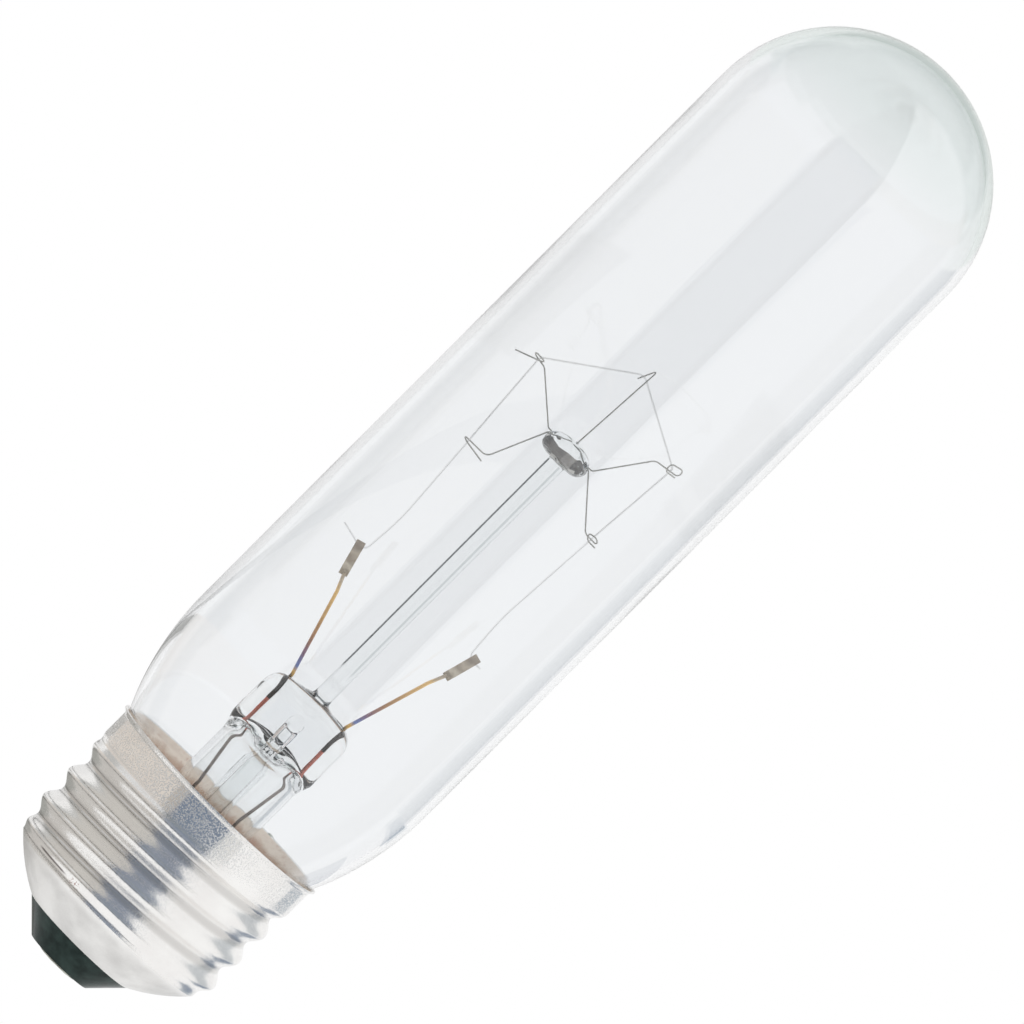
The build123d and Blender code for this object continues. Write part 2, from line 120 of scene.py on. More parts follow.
def box_mm(node):
    """Lowest and highest corner of a CAD node, in millimetres."""
    low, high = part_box(node)
    return low / MM, high / MM


def skin(name, rings, closed=False, zipped=False):
    """Mesh over a row of rings. A ring of one point is a pole, and closed joins the last ring to the first.

    zipped closes the first ring, a narrow slit, straight across.
    """
    points = [point for ring in rings for point in ring]
    starts = [sum(len(ring) for ring in rings[:index]) for index in range(len(rings))]
    faces = []
    pairs = list(zip(range(len(rings) - 1), range(1, len(rings))))
    if closed:
        pairs.append((len(rings) - 1, 0))
    for below, above in pairs:
        count = max(len(rings[below]), len(rings[above]))
        if count == 1:
            continue
        for step in range(count):
            corners = []
            for ring, turn in ((below, step), (below, step + 1), (above, step + 1), (above, step)):
                corner = starts[ring] + (turn % count if len(rings[ring]) > 1 else 0)
                if corner not in corners:
                    corners.append(corner)
            faces.append(corners)
    if zipped:
        count = len(rings[0])
        for step in range(count // 2 - 1):
            faces.append([step + 1, step, count - 1 - step, count - 2 - step])
    mesh = bpy.data.meshes.new(name)
    mesh.from_pydata(points, [], faces)
    mesh.shade_smooth()
    mesh.set_sharp_from_angle(angle=sharp_from)
    return mesh


def lathe(name, outline, segments=192, closed=True):
    """Turns an outline of (radius, height) points round the axis."""
    turns = [2 * math.pi * step / segments for step in range(segments)]
    rings = []
    for radius, height in outline:
        on_axis = radius < 1e-6
        ring = [Vector((radius * math.cos(a), radius * math.sin(a), height)) for a in turns]
        rings.append([Vector((0, 0, height))] if on_axis else ring)
    return skin(name, rings, closed)


def arc(centre, radius, start, end, steps):
    """Points of an arc in the half section, from one angle to another in degrees."""
    angles = [math.radians(start + (end - start) * step / steps) for step in range(steps + 1)]
    return [(centre[0] + radius * math.cos(a), centre[1] + radius * math.sin(a)) for a in angles]


def rounded(corners, steps=6):
    """Open outline through (radius, height, fillet) corners, with each corner rounded by a tangent arc."""
    outline = []
    for index, (radius, height, fillet) in enumerate(corners):
        point = Vector((radius, height))
        if fillet == 0 or index in (0, len(corners) - 1):
            outline.append(tuple(point))
            continue
        back = (Vector(corners[index - 1][:2]) - point).normalized()
        onward = (Vector(corners[index + 1][:2]) - point).normalized()
        half = back.angle(onward) / 2
        centre = point + (back + onward).normalized() * (fillet / math.sin(half))
        first = point + back * (fillet / math.tan(half)) - centre
        last = point + onward * (fillet / math.tan(half)) - centre
        for step in range(steps + 1):
            outline.append(tuple(centre + first.slerp(last, step / steps, first).normalized() * fillet))
    return outline


def polar(radius, angle, height):
    """Point at a radius and an angle in degrees round the axis."""
    turn = math.radians(angle)
    return Vector((radius * math.cos(turn), radius * math.sin(turn), height))


def ease(share):
    """Smooth step from 0 to 1."""
    share = min(max(share, 0), 1)
    return share * share * (3 - 2 * share)


# %% Objects
def add_object(name, mesh, material):
    """Scales a mesh to metres and puts it into the scene with its material."""
    mesh.transform(Matrix.Scale(MM, 4))
    mesh.materials.clear()
    mesh.materials.append(material)
    thing = bpy.data.objects.new(name, mesh)
    scene.collection.objects.link(thing)
    return thing


def place_piece(name, mesh, material, slot, *replaced):
    """Puts a finished piece in the place of the CAD nodes that it replaces."""
    piece = add_object(name, mesh, material)
    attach(piece, "root")
    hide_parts(*replaced)
    print(name, "faces:", len(mesh.polygons))
    return piece


def paint_node(node, material):
    """Gives a CAD node that keeps its shape a new material."""
    nodes[node].data.materials.clear()
    nodes[node].data.materials.append(material)
    print(node, "is finished in", material.name)


# %% [markdown]
# ## Camera
#
# The lamp lies across the picture from the lower left to the upper right, seen almost square to its axis
# and from a little above its rim. A long lens keeps its two sides parallel. The camera is rolled so that
# the lamp, which stands upright in the model, leans 45 degrees to the right in the picture.

# %% Camera
view_elevation = math.radians(4)
view_width = 103.0
lens = 900
sensor = 36
aim = Vector((0.3, 0, 64.75))

forward = Vector((0, math.cos(view_elevation), -math.sin(view_elevation)))
upright = Vector((0, math.sin(view_elevation), math.cos(view_elevation)))
across = Vector((1, 0, 0))
picture_right = (upright + across).normalized()
picture_up = (upright - across).normalized()
camera_data = bpy.data.cameras.new("camera")
camera_data.lens = lens
camera_data.sensor_width = sensor
camera = bpy.data.objects.new("camera", camera_data)
distance = view_width * lens / sensor
camera_turn = Matrix((picture_right, picture_up, -forward)).transposed().to_4x4()
camera.matrix_world = Matrix.Translation((aim - forward * distance) * MM) @ camera_turn
scene.collection.objects.link(camera)
scene.camera = camera
scene.view_settings.view_transform = "Standard"
print("camera distance in mm:", round(distance))


# %% [markdown]
# ## Studio
#
# Glass and bright metal show their surroundings more than themselves. The room is white, and flags, which
# are the dark cards that a photographer sets up for glass, give the edges and the middle their grey bands.
# The flags are patches of a sphere round the lamp. A ray sees most of them after a reflection in the wall or
# the metal, and some only through the solid glass inside, so they hide nothing behind the clear wall.

# %% White room and floor
mirror_rays = ("Is Glossy Ray", "Is Transmission Ray")


def shown_to(tree, share, *kinds):
    """Raises a share to 1 for the rays of some kinds."""
    path = add_node(tree, "ShaderNodeLightPath").node.outputs
    for kind in kinds:
        share = add_node(tree, "ShaderNodeMath", {0: share, 1: path[kind]}, operation="MAXIMUM")
    return share


room_light = 0.55
white = (1, 1, 1, 1)
world = bpy.data.worlds.new("white room")
world.use_nodes = True
scene.world = world
backdrop_share = shown_to(world.node_tree, 0.0, "Is Camera Ray", *mirror_rays)
room_strength = add_node(
    world.node_tree, "ShaderNodeMapRange", {"Value": backdrop_share, "To Min": room_light, "To Max": 1.0}
)
fill(world.node_tree.nodes["Background"], {"Color": white, "Strength": room_strength})

floor_drop = 120
floor_radius = 600
fade_start = 150
fade_end = 450


def floor_material():
    """Painted floor that turns to plain white at a distance and in every reflection."""
    uniform = {"Base Color": colour("#f2f2f0"), "Roughness": 0.9}
    material, tree, shader, place = new_material("painted floor", uniform)
    glow = add_node(tree, "ShaderNodeEmission", {"Color": white, "Strength": 1.0})
    reach = add_node(tree, "ShaderNodeVectorMath", {0: place}, "Value", operation="LENGTH")
    limits = {"Value": reach, "From Min": fade_start * MM, "From Max": fade_end * MM}
    fade = add_node(tree, "ShaderNodeMapRange", limits, interpolation_type="SMOOTHSTEP")
    parts = {0: shown_to(tree, fade, *mirror_rays), 1: shader.outputs[0], 2: glow}
    fill(tree.nodes["Material Output"], {"Surface": add_node(tree, "ShaderNodeMixShader", parts)})
    return material


floor_mesh = lathe("floor", [(0, -floor_drop), (floor_radius, -floor_drop)], 96, closed=False)
add_object("floor", floor_mesh, floor_material())
print("floor lies", floor_drop, "mm under the lamp")


# %% How a flag is seen
# A ray straight through the lamp crosses four faces: into and out of the front wall, and of the back wall
stem_crossings = 4.5
most_crossings = {"mirror": 6.5, "metal": 0.5}
bounce_limit = 32
flag_steps = 24
scene.cycles.max_bounces = bounce_limit
scene.cycles.transmission_bounces = bounce_limit


def flag_material(name, code, sight):
    """Card that is seen mirrored in any surface, mirrored in the metal alone, or through the stem."""
    material = bpy.data.materials.new(name)
    material.use_nodes = True
    tree = material.node_tree
    tree.nodes.remove(tree.nodes["Principled BSDF"])
    path = add_node(tree, "ShaderNodeLightPath").node.outputs
    crossed, mirrored = path["Transmission Depth"], path["Glossy Depth"]
    if sight == "stem":
        seen = add_node(tree, "ShaderNodeMath", {0: crossed, 1: stem_crossings}, operation="GREATER_THAN")
    else:
        limit = {0: crossed, 1: most_crossings[sight]}
        near = add_node(tree, "ShaderNodeMath", limit, operation="LESS_THAN")
        both = {0: near, 1: mirrored}
        seen = add_node(tree, "ShaderNodeMath", both, operation="MULTIPLY", use_clamp=True)
    clear = add_node(tree, "ShaderNodeBsdfTransparent")
    card = add_node(tree, "ShaderNodeEmission", {"Color": colour(code), "Strength": 1.0})
    shown = add_node(tree, "ShaderNodeMixShader", {0: seen, 1: clear, 2: card})
    fill(tree.nodes["Material Output"], {"Surface": shown})
    return material


def set_flag(name, azimuths, elevations, code, sight="mirror", level=60, reach=500, follow=False):
    """Card on a sphere round the lamp, with azimuth 0 in front. follow lets its rows sink to the sides."""
    rings = []
    for row in range(flag_steps + 1):
        rise = math.radians(elevations[0] + (elevations[1] - elevations[0]) * row / flag_steps)
        ring = []
        for column in range(flag_steps + 1):
            turn = math.radians(azimuths[0] + (azimuths[1] - azimuths[0]) * column / flag_steps)
            up = rise
            if follow:
                up = math.asin(math.sin(rise) * math.cos(turn / 2)) - view_elevation
            out = Vector((math.sin(turn) * math.cos(up), -math.cos(turn) * math.cos(up), math.sin(up)))
            ring.append(Vector((0, 0, level)) + out * reach)
        # There and back again, because a skin's rings are closed
        rings.append(ring + ring[-2:0:-1])
    flag = add_object(name, skin(name, rings), flag_material(name, code, sight))
    flag.visible_camera = False
    flag.visible_diffuse = False
    flag.visible_shadow = False


# %% Flags
# The reflection in an upright wall leads down to these elevations: the base mirrors what is below base_row
base_row = -9.1
glass_rows = (base_row, 66)
base_rows = (-21, base_row)
skirt_rows = (-12, base_row)
above_rows = (10, 70)
below_rows = (-48, -8)
rear_rows = (-30, -8)
stem_rows = (-6.6, 2)
# Cards close to the dome are out of the base's sight. The thread's flanks mirror what the skirt doesn't.
far = {}
dome = {"level": 111, "reach": 90}
thread = {"sight": "metal", "level": 12, "reach": 110}
line = {"sight": "metal", "level": 12, "reach": 106, "follow": True}
rod = {"sight": "stem"}
button = {"sight": "stem", "level": 73, "reach": 22}

flags = [
    ("front flag", (-20, 21), glass_rows, "#8f969b", far),
    ("front flag, left edge", (-27, -20), glass_rows, "#565d62", far),
    ("front flag, right edge", (21, 25.5), glass_rows, "#565d62", far),
    ("left card", (-95, -27), glass_rows, "#e8eaec", far),
    ("left side flag", (-128, -95), glass_rows, "#c2c3c2", far),
    ("left rear card", (-176, -142), glass_rows, "#f2f2f2", far),
    ("right rear flag", (117, 142), glass_rows, "#c4c9cd", far),
]
dome_top = 89
soft_edge = 7
dome_flags = (
    ((-24, 22), 26, "#7a8683", "#26342f"),
    ((-60, -24), 25, "#b0bab7", "#7c8885"),
    ((-95, -60), 20, "#b0bab7", "#7c8885"),
    ((-130, -95), 14, "#bcc5c2", "#8a9592"),
)
for azimuths, low, soft_code, full_code in dome_flags:
    flags.append(("dome flag", azimuths, (low + soft_edge, dome_top), full_code, dome))
    flags.append(("dome flag, soft edge", azimuths, (low, low + soft_edge), soft_code, dome))
flags += [
    ("dome rear flag, low", (110, 230), (5, 25), "#f0f4f2", dome),
    ("dome rear flag, middle", (110, 230), (25, 45), "#ced5d2", dome),
    ("dome rear flag, high", (110, 230), (45, dome_top), "#a4afab", dome),
    ("low front flag", (-22.5, 26), base_rows, "#7c889a", far),
    ("low front flag, left edge", (-34, -22.5), base_rows, "#b9b3ac", far),
    ("low front flag, right edge", (26, 44), base_rows, "#e4e4e2", far),
    ("low left card", (-140, -34), base_rows, "#e0d8d0", far),
    ("low left rear flag", (-178, -140), skirt_rows, "#b4b4b2", far),
    ("low right rear flag", (122, 150), skirt_rows, "#b4bdc6", far),
    ("thread left card, above", (-110, -24), above_rows, "#d0cdc8", thread),
    ("thread front flag, above", (-24, 26), above_rows, "#8c94a2", thread),
    ("thread left card, below", (-140, -24), below_rows, "#ccc9c5", thread),
    ("thread front flag, below", (-24, 26), below_rows, "#929aa8", thread),
    ("thread left rear flag", (-178, -140), rear_rows, "#a4a4a0", thread),
    ("thread right rear flag", (120, 148), rear_rows, "#8c97a6", thread),
    ("thread line, above", (-165, -24), (34, 41), "#4a4a48", line),
    ("thread line, below", (-165, 40), (-36, -29), "#40403e", line),
    ("rod line", (108, 136), stem_rows, "#1c2022", rod),
    ("rod shade", (-163, -150), stem_rows, "#dcdfdf", rod),
]
button_rows = ((0, 5), (5, 10), (10, 50))
button_shades = (
    ((115, 145), "#38332f", "#5e5751", "#2e2b29"),
    ((145, 160), "#5f5954", "#96908a", "#45413d"),
    ((160, 178), "#6e6964", "#b0aca6", "#504b47"),
    ((178, 195), "#8d8883", "#a09b95", "#6a655f"),
    ((195, 245), "#5a5550", "#c4c1bb", "#3f3b38"),
)
for azimuths, *codes in button_shades:
    flags += [("button shade", azimuths, rows, code, button) for rows, code in zip(button_rows, codes)]
for name, azimuths, rows, code, where in flags:
    set_flag(name, azimuths, rows, code, **where)
print("flags round the lamp:", len(flags))


# %% Lamps
lamp_aim = Vector((0, 0, 60))


def soft_lamp(name, place, size, power):
    """Square softbox aimed at the middle of the lamp. It lights the surfaces but isn't mirrored in them."""
    data = bpy.data.lights.new(name, "AREA")
    data.size = size * MM
    data.energy = power
    lamp = bpy.data.objects.new(name, data)
    lamp.location = Vector(place) * MM
    lamp.rotation_euler = (lamp_aim - Vector(place)).to_track_quat("-Z", "Y").to_euler()
    lamp.visible_glossy = False
    lamp.visible_transmission = False
    scene.collection.objects.link(lamp)
    print(name, "with", power, "watts")


soft_lamp("right softbox", (500, -350, 350), 400, 4.0)
soft_lamp("left softbox", (-500, -300, 300), 400, 2.5)


# %% [markdown]
# ## Clear glass
#
# The envelope is blown soda-lime glass. It is clear, with a faint grey-green cast that only shows where one
# looks along the wall. Blowing leaves the wall a little uneven, so its reflections waver. The wall is a real
# thickness with an outer and an inner face, because a single face would not bend the light as the tube does.

# %% Glass materials
film_size = 6
film_dull = 0.05


def glass_material(name, code, index, wave_size, wave_depth):
    """Clear glass: uneven by wave_depth over wave_size, with a faint film that scatters a little light."""
    uniform = {"Base Color": colour(code), "IOR": index, "Transmission Weight": 1.0}
    material, tree, shader, place = new_material(name, uniform)
    wave = add_node(tree, "ShaderNodeTexNoise", {"Vector": place, "Scale": per_mm(wave_size), "Detail": 1.0})
    film = add_node(tree, "ShaderNodeTexNoise", {"Vector": place, "Scale": per_mm(film_size), "Detail": 4.0})
    bump = add_node(tree, "ShaderNodeBump", {"Height": wave, "Distance": wave_depth * MM, "Strength": 1.0})
    film_range = {"Value": film, "From Min": 0.45, "From Max": 0.8, "To Min": 0.0, "To Max": film_dull}
    fill(shader, {"Normal": bump, "Roughness": add_node(tree, "ShaderNodeMapRange", film_range)})
    return material, tree, shader, place


tube_code = "#f8f9fa"
dome_code = "#f2f5f5"
dome_start = 112
dome_full = 121
blown_glass, blown_tree, blown_shader, blown_place = glass_material(
    "blown soda-lime glass", tube_code, 1.52, 14, 0.05
)
# The end of the tube is closed by gathering glass, so the dome is a little thicker and greener than the wall
blown_height = add_node(blown_tree, "ShaderNodeSeparateXYZ", {0: blown_place}, "Z")
gathered = add_node(
    blown_tree,
    "ShaderNodeMapRange",
    {"Value": blown_height, "From Min": dome_start * MM, "From Max": dome_full * MM},
    interpolation_type="SMOOTHSTEP",
)
blown_tone = add_node(blown_tree, "ShaderNodeValToRGB", {"Fac": gathered})
fill(blown_shader, {"Base Color": set_ramp(blown_tone, (0.0, tube_code), (1.0, dome_code))})
# Lead glass is softer and clearer, and drawing leaves it smoother than blowing does
stem_glass = glass_material("drawn lead glass", "#fbfcfc", 1.54, 7, 0.02)[0]

# %% Envelope
glass_wall = 0.8
shoulder_top = 36.9
rim_height = 23.5
rim_radius = 12.94
neck_cone_bottom = 18.4
neck_radius = 10.6
envelope_low, envelope_high = box_mm("glass_envelope")
bulb_radius = envelope_high.x
dome_centre = envelope_high.z - bulb_radius
shoulder_rise = shoulder_top - rim_height
shoulder_drop = bulb_radius - rim_radius
shoulder_radius = (shoulder_rise**2 + shoulder_drop**2) / (2 * shoulder_drop)
shoulder_turn = math.degrees(math.asin(shoulder_rise / shoulder_radius))


def envelope_outline(inset):
    """Half section of the envelope from the seal to the top of the dome, smaller by the wall inside."""
    neck = [(neck_radius - inset, envelope_low.z), (neck_radius - inset, neck_cone_bottom)]
    shoulder_centre = (bulb_radius - inset - shoulder_radius, shoulder_top)
    shoulder = arc(shoulder_centre, shoulder_radius, -shoulder_turn, 0, 20)
    round_end = arc((0, dome_centre), bulb_radius - inset, 0, 90, 40)
    return neck + shoulder + round_end[:-1] + [(0, dome_centre + bulb_radius - inset)]


def let_light_through(piece):
    """Clear glass casts next to no shadow, so the lamps and the room light what stands behind it."""
    piece.visible_shadow = False
    piece.visible_diffuse = False


envelope_mesh = lathe("envelope", envelope_outline(0) + envelope_outline(glass_wall)[::-1])
envelope = place_piece("blown_envelope", envelope_mesh, blown_glass, "clear_glass", "glass_envelope")
let_light_through(envelope)


# %% [markdown]
# ## Wires
#
# Each wire runs straight and is bent round a small radius, as a bending machine leaves it. A route is a row
# of corner points that carry their bend radius. A Geometry Nodes tree rounds the corners and gives the wire
# its thickness, so that one tree serves every wire, and a route stays a short list that can be read.

# %% Trees
bend_points = 10


def new_tree(name, **inputs):
    """Geometry Nodes tree with named inputs, and the sockets that they arrive on."""
    tree = bpy.data.node_groups.new(name, "GeometryNodeTree")
    tree.interface.new_socket("Geometry", in_out="OUTPUT", socket_type="NodeSocketGeometry")
    for label, kind in (("Geometry", "Geometry"), *inputs.items(), ("Finish", "Material")):
        socket_name = label.replace("_", " ")
        tree.interface.new_socket(socket_name, in_out="INPUT", socket_type="NodeSocket" + kind)
    return tree, add_node(tree, "NodeGroupInput").node.outputs


def end_tree(tree, geometry, finish):
    """Ends a tree in smooth faces, real geometry and a material."""
    smooth = add_node(tree, "GeometryNodeSetShadeSmooth", {"Geometry": geometry})
    real = add_node(tree, "GeometryNodeRealizeInstances", {"Geometry": smooth})
    done = add_node(tree, "GeometryNodeSetMaterial", {"Geometry": real, "Material": finish})
    add_node(tree, "NodeGroupOutput", {"Geometry": done})
    print(tree.name, "tree nodes:", len(tree.nodes))


def bent_route(tree, geometry):
    """Turns a row of edges into a curve with each corner rounded by its own bend radius."""
    curve = add_node(tree, "GeometryNodeMeshToCurve", {"Mesh": geometry})
    bend = add_node(tree, "GeometryNodeInputNamedAttribute", {"Name": "bend"}, data_type="FLOAT")
    rounding = {"Curve": curve, "Radius": bend, "Limit Radius": True, "Count": bend_points}
    return add_node(tree, "GeometryNodeFilletCurve", rounding, mode="POLY")


def round_wire(tree, curve, arrival):
    """Gives a curve the thickness of a round wire, with closed ends."""
    section = {"Resolution": arrival["Sides"], "Radius": arrival["Wire radius"]}
    profile = add_node(tree, "GeometryNodeCurvePrimitiveCircle", section)
    sweep = {"Curve": curve, "Profile Curve": profile, "Fill Caps": True}
    return add_node(tree, "GeometryNodeCurveToMesh", sweep)


def route_mesh(name, points, bends):
    """Row of edges through the points, which carry the bend radius of each corner."""
    mesh = bpy.data.meshes.new(name)
    mesh.from_pydata(points, [(step, step + 1) for step in range(len(points) - 1)], [])
    attribute = mesh.attributes.new("bend", "FLOAT", "POINT")
    for item, bend in zip(attribute.data, bends):
        item.value = bend
    return mesh


def plain_mesh(thing):
    """Mesh of an object with its modifiers worked in."""
    depsgraph = bpy.context.evaluated_depsgraph_get()
    return bpy.data.meshes.new_from_object(thing.evaluated_get(depsgraph), depsgraph=depsgraph)


def run_tree(tree, mesh, **values):
    """Runs a tree on a mesh and returns the result as a plain mesh without a modifier."""
    source = bpy.data.objects.new(mesh.name, mesh)
    scene.collection.objects.link(source)
    modifier = source.modifiers.new(tree.name, "NODES")
    modifier.node_group = tree
    sockets = {item.name: item.identifier for item in tree.interface.items_tree if item.in_out == "INPUT"}
    for label, value in values.items():
        modifier[sockets[label.replace("_", " ")]] = value
    result = plain_mesh(source)
    bpy.data.objects.remove(source)
    return result


# %% Drawn wire tree
wire_tree, wire_in = new_tree("drawn wire", Wire_radius="Float", Sides="Int")
wire_body = round_wire(wire_tree, bent_route(wire_tree, wire_in["Geometry"]), wire_in)
end_tree(wire_tree, wire_body, wire_in["Finish"])


# %% [markdown]
# ## Stem, press and rod
#
# The stem is a glass tube, flared like a trumpet where it is melted to the neck and squeezed flat at the top
# round the leads. The rod with its button and the exhaust tube are melted to it. In the finished lamp this is
# one body of glass, so it is made as one: a surface between two touching pieces would show as a false mirror
# inside. Every level of the stem is a rounded rectangle. Where its three sizes are equal it is a circle, so
# the tube, the press and the rod are all drawn by one function. The jaws that squeeze the soft glass leave
# the press uneven, and a second function moves each point as they did. A Boolean joins the exhaust tube and
# drills its bore, which turns and opens through the front of the press.

# %% Levels of the stem
stem_radius = 5.0
stem_bore = 4.2
flare_centre = (9.8, 18.2)
flare_low = 12.6
flare_outside = 4.8
flare_inside = 5.6
flare_steps = 14
press_start = 28.8
press_full = 32.2
press_top = 36.9
press_steps = 20
press_edge = 1.5
edge_steps = 10
press_half_width = 5.5
press_half_depth = 2.25
press_corner = 1.6
press_level = (press_half_width, press_half_depth, press_corner)


def level_ring(half_width, half_depth, corner, height, points=40):
    """One level of the stem, a rounded rectangle with evenly spaced points."""
    side, front, bend = half_depth - corner, half_width - corner, corner * math.pi / 2
    quarter = []
    for step in range(points):
        way = (step + 0.5) / points * (side + bend + front)
        turn = min(max(way - side, 0), bend) / corner
        x = front + corner * math.cos(turn) - max(way - side - bend, 0)
        quarter.append((x, min(way, side) + corner * math.sin(turn)))
    half = quarter + [(-x, y) for x, y in quarter[::-1]]
    return [Vector((x, y, height)) for x, y in half + [(x, -y) for x, y in half[::-1]]]


def circle_levels(outline):
    """Levels of a round stretch from its (radius, height) outline."""
    return [(radius, radius, radius, height) for radius, height in outline]


def flare(foot, curve):
    """Levels of the trumpet, from the seal at the neck up to the tube, along a curve of a radius."""
    return circle_levels([(neck_radius, foot)] + arc(flare_centre, curve, 270, 180, flare_steps))


outside = flare(envelope_low.z, flare_outside)
for step in range(press_steps + 1):
    share = step / press_steps
    sizes = [stem_radius + (size - stem_radius) * ease(share) for size in press_level]
    outside.append((*sizes, press_start + (press_full - press_start) * share))
for height in (32.8, 33.4, 34.0, 34.6, 35.1):
    outside.append((*press_level, height))
for step in range(edge_steps + 1):
    turn = math.radians(90 * step / edge_steps)
    inset = press_edge * (1 - math.cos(turn))
    sizes = [size - inset for size in press_level]
    outside.append((*sizes, press_top - press_edge * (1 - math.sin(turn))))
print("levels up to the top of the press:", len(outside))

# %% Rod and button
rod_radius = 1.0
rod_heights = (37.9, 38.8, 45, 52, 60, 68, 70.9, 71.3)
button_height = 73.0
button_radius = 2.825
button_top = 74.45
button_shoulder = 72.7
button_edge = 1.13
dome_steps = 19
# The rod grows out of the press in a small collar, and flares again where it meets the button
outside += [(2.2, 0.7, 0.6, press_top + 0.03), (1.5, 1.0, 0.95, press_top + 0.14)]
rod_foot = [(1.14, press_top + 0.28), (1.04, press_top + 0.5), (1.005, press_top + 0.8)]
rod_flare = [(1.02, 71.48), (1.12, 71.55), (1.5, 71.57)]
outside += circle_levels(rod_foot + [(rod_radius, height) for height in rod_heights] + rod_flare)
outside += circle_levels(arc((button_radius - button_edge, button_shoulder), button_edge, -80, 0, 10))
for step in range(1, dome_steps + 1):
    turn = math.radians(88 * step / dome_steps)
    height = button_shoulder + (button_top - button_shoulder) * math.sin(turn)
    outside += circle_levels([(button_radius * math.cos(turn), height)])
print("rod and button end at", button_top, "mm")

# %% Unevenness of the press and the button
arch_start = 1.3
press_sag = 1.0
press_crown = 0.6
crown_end = 45.0
press_wave, press_wave_size = 0.12, 2.0
button_wave, button_wave_size = 0.07, 0.9
button_start = 71.6
wave_end = 0.6
# Vector noise starts from the clock unless it is seeded, and the shape would change on every run
wave_seed = 4
noise.seed_set(wave_seed)


def pressed(point):
    """Moves a point as the jaws did: the shoulder sags to the sides, the top rises to the rod, in waves."""
    rise = ease((point.z - press_start) / (press_full - press_start))
    below_top = ease((press_top - point.z) / (press_top - press_full))
    sideways = ease((abs(point.x) - arch_start) / (press_half_width - arch_start))
    crown = press_crown * (1 - (point.x / press_half_width) ** 2) * (1 - below_top)
    crown *= ease((crown_end - point.z) / (crown_end - press_top))
    waves = noise.noise_vector(point / press_wave_size) * press_wave * rise
    waves *= ease((press_top + wave_end - point.z) / wave_end)
    in_button = ease((point.z - button_start) / wave_end)
    button_waves = noise.noise_vector(point / button_wave_size) * button_wave * in_button
    return point + waves + button_waves + Vector((0, 0, crown - press_sag * rise * below_top * sideways))


outside_rings = [[pressed(point) for point in level_ring(*level)] for level in outside]
outside_rings.append([Vector((0, 0, button_top))])
print("rings of the outside:", len(outside_rings))

# %% Hollow of the stem
hollow_end = 29.6
hollow_rise = 0.9
hollow_arch = 0.5
closing_steps = 14
closing_turn = 89
inside_rings = [level_ring(*level) for level in flare(flare_low, flare_inside)]
for step in range(closing_steps + 1):
    turn = math.radians(closing_turn * step / closing_steps)
    narrow = stem_bore * math.cos(turn)
    ring = level_ring(stem_bore, narrow, narrow, hollow_end)
    for point in ring:
        arch = min(max((abs(point.x) - arch_start) / (stem_bore - arch_start), 0), 1)
        point.z += math.sin(turn) * (hollow_rise + hollow_arch * math.sin(math.pi * arch))
    inside_rings.append(ring)
stem_mesh = skin("stem", inside_rings[::-1] + outside_rings, zipped=True)
print("stem faces:", len(stem_mesh.polygons))


# %% Exhaust tube
def boolean_mesh(body, *steps):
    """Joins meshes to a closed body or cuts them out of it, one (operation, mesh) step after the other."""
    helpers = [bpy.data.objects.new(mesh.name, mesh) for mesh in (body, *[mesh for operation, mesh in steps])]
    for helper in helpers:
        scene.collection.objects.link(helper)
    for (operation, mesh), helper in zip(steps, helpers[1:]):
        modifier = helpers[0].modifiers.new(operation, "BOOLEAN")
        modifier.operation = operation
        modifier.object = helper
    result = plain_mesh(helpers[0])
    for helper in helpers:
        bpy.data.objects.remove(helper)
    result.shade_smooth()
    result.set_sharp_from_angle(angle=sharp_from)
    return result


exhaust_low, exhaust_high = box_mm("exhaust_tube")
exhaust_radius = exhaust_high.x
exhaust_bore = 0.9
exhaust_taper = 12.0
tip_radius = 0.5
hole_height = 34.4
hole_bend = 1.2
exhaust_outline = rounded(
    [
        (0, exhaust_low.z, 0),
        (tip_radius, exhaust_low.z, 0.4),
        (exhaust_radius, exhaust_taper, 3.0),
        (exhaust_radius, exhaust_high.z, 0.2),
        (0, exhaust_high.z, 0),
    ]
)
exhaust_body = lathe("exhaust", exhaust_outline, 48, closed=False)
bore_points = [(0, 0, exhaust_taper), (0, 0, hole_height), (0, -press_half_depth - 1, hole_height)]
bore_route = route_mesh("bore", bore_points, [0, hole_bend, 0])
bore_mesh = run_tree(wire_tree, bore_route, Wire_radius=exhaust_bore, Sides=32)
stem_body = boolean_mesh(stem_mesh, ("UNION", exhaust_body), ("DIFFERENCE", bore_mesh))
stem_piece = place_piece(
    "stem_with_rod", stem_body, stem_glass, "stem_glass", "stem_flare", "arbor_rod", "exhaust_tube"
)
let_light_through(stem_piece)


# %% [markdown]
# ## Filament
#
# The filament is a tungsten wire, thinner than a hair, wound into a long coil. The coil hangs over five hooks
# and its two ends are pinched in the clamps of the leads. A modelled coil, with air between its turns, is
# lighter to the eye than a solid wire of the same width, which is how the real one looks. The tree walks
# along the bent route and swings each point round it, once per turn.

